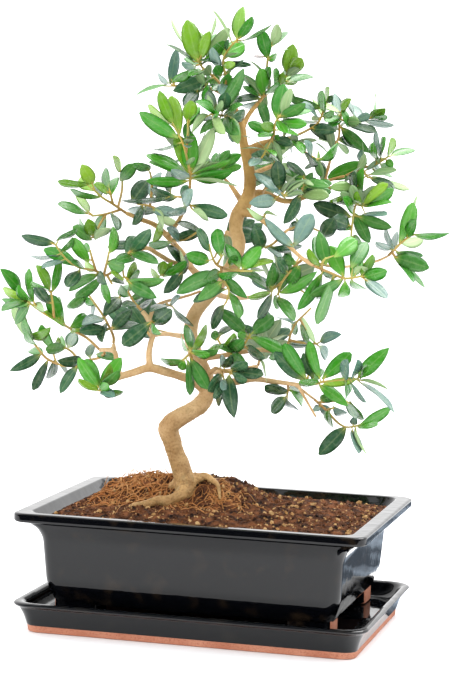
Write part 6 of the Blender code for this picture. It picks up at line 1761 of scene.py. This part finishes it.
def inner_leaf(rng, tubes):
    """A small leaf on one of these twigs, written as the sketch's leaves are."""
    points, _ = rng.choice(tubes)
    i = rng.randrange(len(points) - 1)
    along = (points[i + 1] - points[i]).normalized()
    root = points[i].lerp(points[i + 1], rng.uniform(0.2, 0.9))
    out = thrown_out(rng, along)
    ahead = (along * rng.uniform(0, 0.8) + out + Vector((0, 0, 0.15))).normalized()
    long = rng.uniform(*INNER_LONG)
    return (root, root + ahead * INNER_STALK, root + ahead * long, *facing_sky(ahead, along),
            long * rng.uniform(*INNER_SHARE), rng.uniform(*LEAF_ARCH), rng.choice(INNER_SHADES))


# %% The second row
INNER_LEAVES, INNER_TRIES = 10, 240

rng = random.Random(SEED + 3)
lines = [(on_sheet(foot), on_sheet(tip)) for _, _, leaves in sprays.values()
         for _, foot, tip, *_ in leaves]
second_row = {}
for name, (_, tubes, leaves) in sprays.items():
    inners = [heart(foot.lerp(tip, 0.3), tip, *shape) for _, foot, tip, *shape, _ in leaves]
    second_row[name] = []
    for _ in range(INNER_TRIES):
        leaf = inner_leaf(rng, tubes)
        _, foot, tip, *shape, _ = leaf
        if not (allowed(tip, lines) and allowed(foot.lerp(tip, 0.5), lines)):
            continue
        fat = blade(foot, foot, tip, *shape, GAP)
        if crowd.meets(*fat, keep=name):
            continue
        inner = heart(foot, tip, *shape)
        if any(inner.overlap(other) for other in inners):
            continue
        crowd.add(name, *fat)
        inners.append(inner)
        second_row[name].append(leaf)
        if len(second_row[name]) == INNER_LEAVES:
            break
print(sum(len(leaves) for leaves in second_row.values()), "leaves in the second row")

# %% The fine sprays
STALK = 0.00055          # radius of a leaf stalk
STALK_INTO = 0.14        # share of the leaf's length that the stalk reaches under it
TWIG_SLIM = 0.86         # the fine twig's thickness for the solid's
TWIG_STEPS = 4
YOUNG_SHADES = "yg"

rng = random.Random(SEED + 1)


def spray_points(name, tubes, leaves):
    """The object that the rule reads: chains for stems, and one loose point for each leaf."""
    fresh = sum(leaf[7] in YOUNG_SHADES for leaf in leaves) / max(len(leaves), 1)
    leaves = leaves + second_row[name]
    paths = []
    for points, radii in tubes:
        line = curved([(*point, radius * TWIG_SLIM) for point, radius in zip(points, radii)],
                      TWIG_STEPS)
        count = len(line) - 1
        paths.append([(*point, min(1, (i / count) * (0.5 + fresh))) for i, point in enumerate(line)])
    for root, foot, tip, *_ in leaves:
        into = foot.lerp(tip, STALK_INTO)
        middle = root.lerp(into, 0.5)
        paths.append([(*root, STALK * 1.25, 0.8), (*middle, STALK, 0.9), (*into, STALK * 0.5, 1.0)])
    made = chained("points", paths)
    mesh = made.data
    first = len(mesh.vertices)
    mesh.vertices.add(len(leaves))
    values = {key: [0.0] * first for key in ("is_leaf", "form", "arch", "curl")}
    vectors = {key: [0.0] * (3 * first) for key in ("up", "ahead", "size", "tint")}
    for i, (_, foot, tip, _, up, width, arch, shade) in enumerate(leaves):
        mesh.vertices[first + i].co = foot
        long = (tip - foot).length
        values["is_leaf"].append(1)
        values["form"].append(rng.choice((0, 0, 1, 1, 2)))
        values["arch"].append(arch * 4 * long)
        values["curl"].append(-long * rng.uniform(0, 0.07))
        for key, vector in (("up", up), ("ahead", (tip - foot).normalized()),
                            ("size", (long, width, long)), ("tint", leaf_tint(rng, shade))):
            vectors[key] += list(vector)
    kinds = {"is_leaf": ("BOOLEAN", bool), "form": ("INT", int), "arch": ("FLOAT", float),
             "curl": ("FLOAT", float)}
    for key, (kind, cast) in kinds.items():
        attribute = mesh.attributes.new(key, kind, "POINT")
        attribute.data.foreach_set("value", [cast(v) for v in values[key]])
    for key, numbers in vectors.items():
        mesh.attributes.new(key, "FLOAT_VECTOR", "POINT").data.foreach_set("vector", numbers)
    return made, fresh > 0.5


total = 0
for name, (_, tubes, leaves) in sprays.items():
    points, fresh = spray_points(name, tubes, leaves)
    piece = settled(points, spray_tree, name + "_leaves", Forms=forms, Sides=SPRAY_STEM_SIDES,
                    Leaf_finish=young_leaf if fresh else mature_leaf, Twig_finish=twig_bark)
    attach(piece, "root")
    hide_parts(name)
    total += len(piece.data.polygons)
print(len(sprays), "sprays with", total, "faces")

for form in list(forms.objects):
    bpy.data.objects.remove(form)
bpy.data.collections.remove(forms)

# %% [markdown]
# ## Earth
# The earth is a dark reddish compost of crumbs, with tan grit and bits of straw-coloured husk. The
# old root ball stands up round the trunk. A fine skin follows the same height rule as the solid and
# carries small lumps. Over it, Geometry Nodes scatter crumbs of a few sizes. Bump alone would look
# like carpet at the pot's rim, where the crumbs stand against the glaze.

# %% The earth's finish
def make_earth(name, dark, light, spots):
    """Compost between dark and light; what is marked as another kind is in the colour of spots."""
    material, tree, shader = new_finish(name)
    # Darker and lighter patches by noise; the darkest tone is in part painted shade between the crumbs.
    tone_and_shade_patches = ramp(tree, grain(tree, 150, 6), 0.35, 0.68)
    colour = blended(tree, tone_and_shade_patches, paint(*dark), paint(*light))
    grit = blended(tree, tone_and_shade_patches, paint(*spots), paint(206, 170, 120))
    colour = blended(tree, mark(tree, "kind"), colour, grit)
    relief = bumped(tree, grain(tree, 900, 5), 0.8, 0.0012)
    feed(tree, shader, base_color=colour, roughness=ramp(tree, tone_and_shade_patches, 0, 1, 0.78, 0.95), normal=relief,
         specular_ior_level=0.15)
    return material


earth = make_earth("dark_compost", (38, 22, 15), (128, 82, 54), (164, 120, 72))

# %% The skin of the earth
SKIN_LONG, SKIN_DEEP = 150, 110          # squares of the skin
LUMP = 0.0017
CALM_EDGE = 0.004                        # the lumps get lower over this much before the edge


def in_corner(x, y):
    """The place moved in from the square corner of the soil's edge to its rounded one."""
    past = [max(0, abs(p) - (edge - SOIL_CORNER)) / SOIL_CORNER for p, edge in zip((x, y), SOIL_EDGE)]
    if min(past) > 0:
        pulled = (past[0] * (1 - past[1] ** 2 / 2) ** 0.5, past[1] * (1 - past[0] ** 2 / 2) ** 0.5)
        x, y = (copysign(edge - SOIL_CORNER * (1 - share), p)
                for p, edge, share in zip((x, y), SOIL_EDGE, pulled))
    return x, y


def soil_body(lines_x, lines_y, height):
    """Vertices and faces of the soil: a top of squares on these lines, and sides in the pot."""
    places = [in_corner(x, y) for y in lines_y for x in lines_x]
    verts = [Vector((x, y, height(x, y))) for x, y in places]
    wide, deep = len(lines_x), len(lines_y)
    faces = [(j * wide + i, j * wide + i + 1, (j + 1) * wide + i + 1, (j + 1) * wide + i)
             for j in range(deep - 1) for i in range(wide - 1)]
    upper = [*range(wide - 1), *range(wide - 1, wide * deep - 1, wide),
             *range(wide * deep - 1, wide * (deep - 1), -1), *range(wide * (deep - 1), 0, -wide)]
    clear, n = AIR * 1.5, len(upper)
    edge = [verts[i] for i in upper]
    for half, high in ((inset(POT_SHOULDER, POT_WALL + clear), 0.0758),
                       (inset(POT_INSIDE, clear), POT_FLOOR + AIR + 0.0032),
                       (inset(POT_INSIDE, clear + 0.0030), POT_FLOOR + AIR)):
        lower = range(len(verts), len(verts) + n)
        verts += [Vector((p.x * half[0] / SOIL_EDGE[0], p.y * half[1] / SOIL_EDGE[1], high))
                  for p in edge]
        faces += [(upper[k], lower[k], lower[(k + 1) % n], upper[(k + 1) % n]) for k in range(n)]
        upper = lower
    faces.append(tuple(reversed(upper)))
    return verts, faces


def earth_height(x, y):
    """The solid's height with small lumps."""
    place = Vector((x, y, 0))
    lumps = noise.fractal(place * 150, 0.8, 2.1, 4) * LUMP + noise.noise(place * 480) * LUMP * 0.4
    edge = min(1, (SOIL_EDGE[0] - abs(x)) / CALM_EDGE, (SOIL_EDGE[1] - abs(y)) / CALM_EDGE)
    return soil_height(x, y) + lumps * (0.4 + 0.6 * edge)


lines_x, lines_y = ([edge * (2 * i / count - 1) for i in range(count + 1)]
                    for edge, count in zip(SOIL_EDGE, (SKIN_LONG, SKIN_DEEP)))
verts, faces = soil_body(lines_x, lines_y, earth_height)
top_faces = SKIN_LONG * SKIN_DEEP

# %% The earth as a piece
soil = solid("earth", verts, faces)
soil.data.materials.append(earth)
smooth(soil)
soil.data.attributes.new("kind", "FLOAT", "POINT")
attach(soil, "root")
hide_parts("soil")
print("the earth has", len(soil.data.polygons), "faces")

# %% The rule for crumbs
CRUMB_SEED = 11

crumb_tree, given, result = new_shape_tree(
    "crumbs", Density="NodeSocketFloat", Apart="NodeSocketFloat", Smallest="NodeSocketFloat",
    Largest="NodeSocketFloat", Light_share="NodeSocketFloat", Fineness="NodeSocketInt",
    Finish="NodeSocketMaterial")
scattered = wire(crumb_tree, "GeometryNodeDistributePointsOnFaces", {
    "Mesh": given["Geometry"], "Distance Min": given["Apart"], "Density Max": given["Density"],
    "Seed": CRUMB_SEED}, distribute_method="POISSON").outputs["Points"]


def thrown(tree, kind, low, high, seed):
    """A random value for each point, from this seed."""
    first = {"FLOAT_VECTOR": 0, "FLOAT": 2}[kind]
    output = {"FLOAT_VECTOR": 0, "FLOAT": 1}[kind]
    return wire(tree, "FunctionNodeRandomValue", {first: low, first + 1: high, "Seed": seed},
                data_type=kind).outputs[output]


is_light = wire(crumb_tree, "FunctionNodeCompare", {0: thrown(crumb_tree, "FLOAT", 0.0, 1.0, 1),
                                                    1: given["Light share"]},
                data_type="FLOAT", operation="LESS_THAN").outputs[0]
scattered = shape_of(crumb_tree, "GeometryNodeStoreNamedAttribute", {
    "Geometry": scattered, "Name": "kind", "Value": is_light}, data_type="FLOAT", domain="POINT")
ball = wire(crumb_tree, "GeometryNodeMeshIcoSphere",
            {"Radius": 1.0, "Subdivisions": given["Fineness"]})
flat = thrown(crumb_tree, "FLOAT_VECTOR", (0.7, 0.6, 0.45), (1.3, 1.15, 0.8), 2)
uneven = scaled(crumb_tree, flat, thrown(crumb_tree, "FLOAT", given["Smallest"], given["Largest"], 3))
spin = thrown(crumb_tree, "FLOAT_VECTOR", (0, 0, 0), (2 * pi, 2 * pi, 2 * pi), 4)
crumbs = shape_of(crumb_tree, "GeometryNodeInstanceOnPoints", {
    "Points": scattered, "Instance": ball.outputs["Mesh"], "Rotation": spin,
    "Scale": uneven}, "Instances")
crumbs = shape_of(crumb_tree, "GeometryNodeRealizeInstances", {"Geometry": crumbs})
rough = wire(crumb_tree, "ShaderNodeTexNoise", {"Scale": 900.0, "Detail": 1.0}).outputs["Color"]
rough = wire(crumb_tree, "ShaderNodeVectorMath", {0: rough, 1: (0.5, 0.5, 0.5)},
             operation="SUBTRACT").outputs[0]
crumbs = shape_of(crumb_tree, "GeometryNodeSetPosition", {
    "Geometry": crumbs, "Offset": scaled(crumb_tree, rough, given["Largest"])})
crumb_tree.links.new(coated(crumb_tree, crumbs, given["Finish"]), result.inputs["Geometry"])

# %% Crumbs of three sizes
# Each kind: how many per square metre at most, how far apart, smallest and largest radius, the
# share of light ones, and how round they are.
CRUMBS = {
    "fine_crumbs": (170000, 0.0015, 0.0005, 0.0012, 0.14, 1),
    "coarse_crumbs": (18000, 0.0046, 0.0011, 0.0023, 0.22, 2),
    "husks": (3200, 0.0075, 0.0011, 0.0025, 0.85, 2),
}
CRUMB_FRAME = 0.0030     # kept clear at the soil's edge


def crumb_bed():
    """The top of the earth without its rim, for crumbs to lie on."""
    keep = []
    for face in faces[:top_faces]:
        x = sum(verts[i][0] for i in face) / 4
        y = sum(verts[i][1] for i in face) / 4
        if abs(x) < SOIL_EDGE[0] - CRUMB_FRAME and abs(y) < SOIL_EDGE[1] - CRUMB_FRAME:
            keep.append(face)
    return plain("bed", verts, keep)


for name, (density, apart, smallest, largest, light, fineness) in CRUMBS.items():
    piece = settled(crumb_bed(), crumb_tree, name, Density=float(density), Apart=apart,
                    Smallest=smallest, Largest=largest, Light_share=light, Fineness=fineness,
                    Finish=earth)
    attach(piece, "root")
    print(name, "has", len(piece.data.polygons), "faces")

# %% [markdown]
# ## Rootlets
# Where the root ball stands out of the earth, its fine roots show: a mat of orange-brown strands on
# the left, and pale hairs that loop up into the air behind it. Each is a short walk over the mound,
# swept by the same rule as the twigs.

# %% The rootlets' finish
material, tree, shader = new_finish("rootlet")
strand = blended(tree, mark(tree, "young"), paint(150, 84, 38), paint(214, 164, 108))
strand = blended(tree, ramp(tree, grain(tree, 400, 4), 0.35, 0.65), strand, paint(170, 112, 60))
feed(tree, shader, base_color=strand, roughness=0.7, specular_ior_level=0.2,
     normal=bumped(tree, grain(tree, 1200, 2), 0.4, 0.0003))
rootlet = material

# %% Walks over the mound
ROOTLET_SIDES = 4
STRIDE, STRIDE_DEEP = 0.0028, 0.8        # a step to the side, and the share of it to the back
DIP = 0.0004             # how far the ends lie in the earth
KEPT_OFF = 0.006         # from the edge of the soil
# Each mat: how many, the middle and the spread where they start, steps, lift, thickness, paleness.
MATS = [
    (190, (-0.066, -0.006), (0.034, 0.026), (6, 15), (0.0004, 0.0034), (0.00030, 0.00062), (0.0, 0.75)),
    (44, (-0.070, 0.010), (0.024, 0.018), (6, 12), (0.0024, 0.0090), (0.00016, 0.00028), (0.6, 1.0)),
    (50, (-0.020, -0.012), (0.024, 0.020), (5, 12), (0.0003, 0.0022), (0.00025, 0.00055), (0.1, 0.7)),
    (60, (0.006, -0.010), (0.014, 0.014), (4, 9), (0.0003, 0.0020), (0.00024, 0.00050), (0.2, 0.9)),
]


def held(place, edge):
    """The place, kept off the edge of the soil."""
    return min(max(place, KEPT_OFF - edge), edge - KEPT_OFF)


def walk(rng, middle, spread, steps, lift, thickness, pale):
    """One rootlet: a bending path on the earth that rises a little in its middle."""
    x, y = (m + rng.gauss(0, 0.5) * s for m, s in zip(middle, spread))
    heading = rng.uniform(0, 2 * pi)
    bend = rng.uniform(-0.25, 0.25)
    count = rng.randint(*steps)
    rise, thick, paleness = rng.uniform(*lift), rng.uniform(*thickness), rng.uniform(*pale)
    path = []
    for i in range(count):
        share = i / (count - 1)
        high = earth_height(x, y) + rise * sin(pi * share) ** 2 - DIP
        path.append((x, y, high, thick * (1.1 - 0.6 * share), paleness))
        heading += bend + rng.uniform(-0.3, 0.3)
        x = held(x + cos(heading) * STRIDE, SOIL_EDGE[0])
        y = held(y + sin(heading) * STRIDE * STRIDE_DEEP, SOIL_EDGE[1])
    return curved(path, 2)


rng = random.Random(SEED + 2)
paths = [walk(rng, *facts) for count, *facts in MATS for _ in range(count)]
rootlets = settled(chained("rootlet_lines", paths), stem_tree, "rootlets",
                   Sides=ROOTLET_SIDES, Finish=rootlet)
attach(rootlets, "root")
print(len(paths), "rootlets")
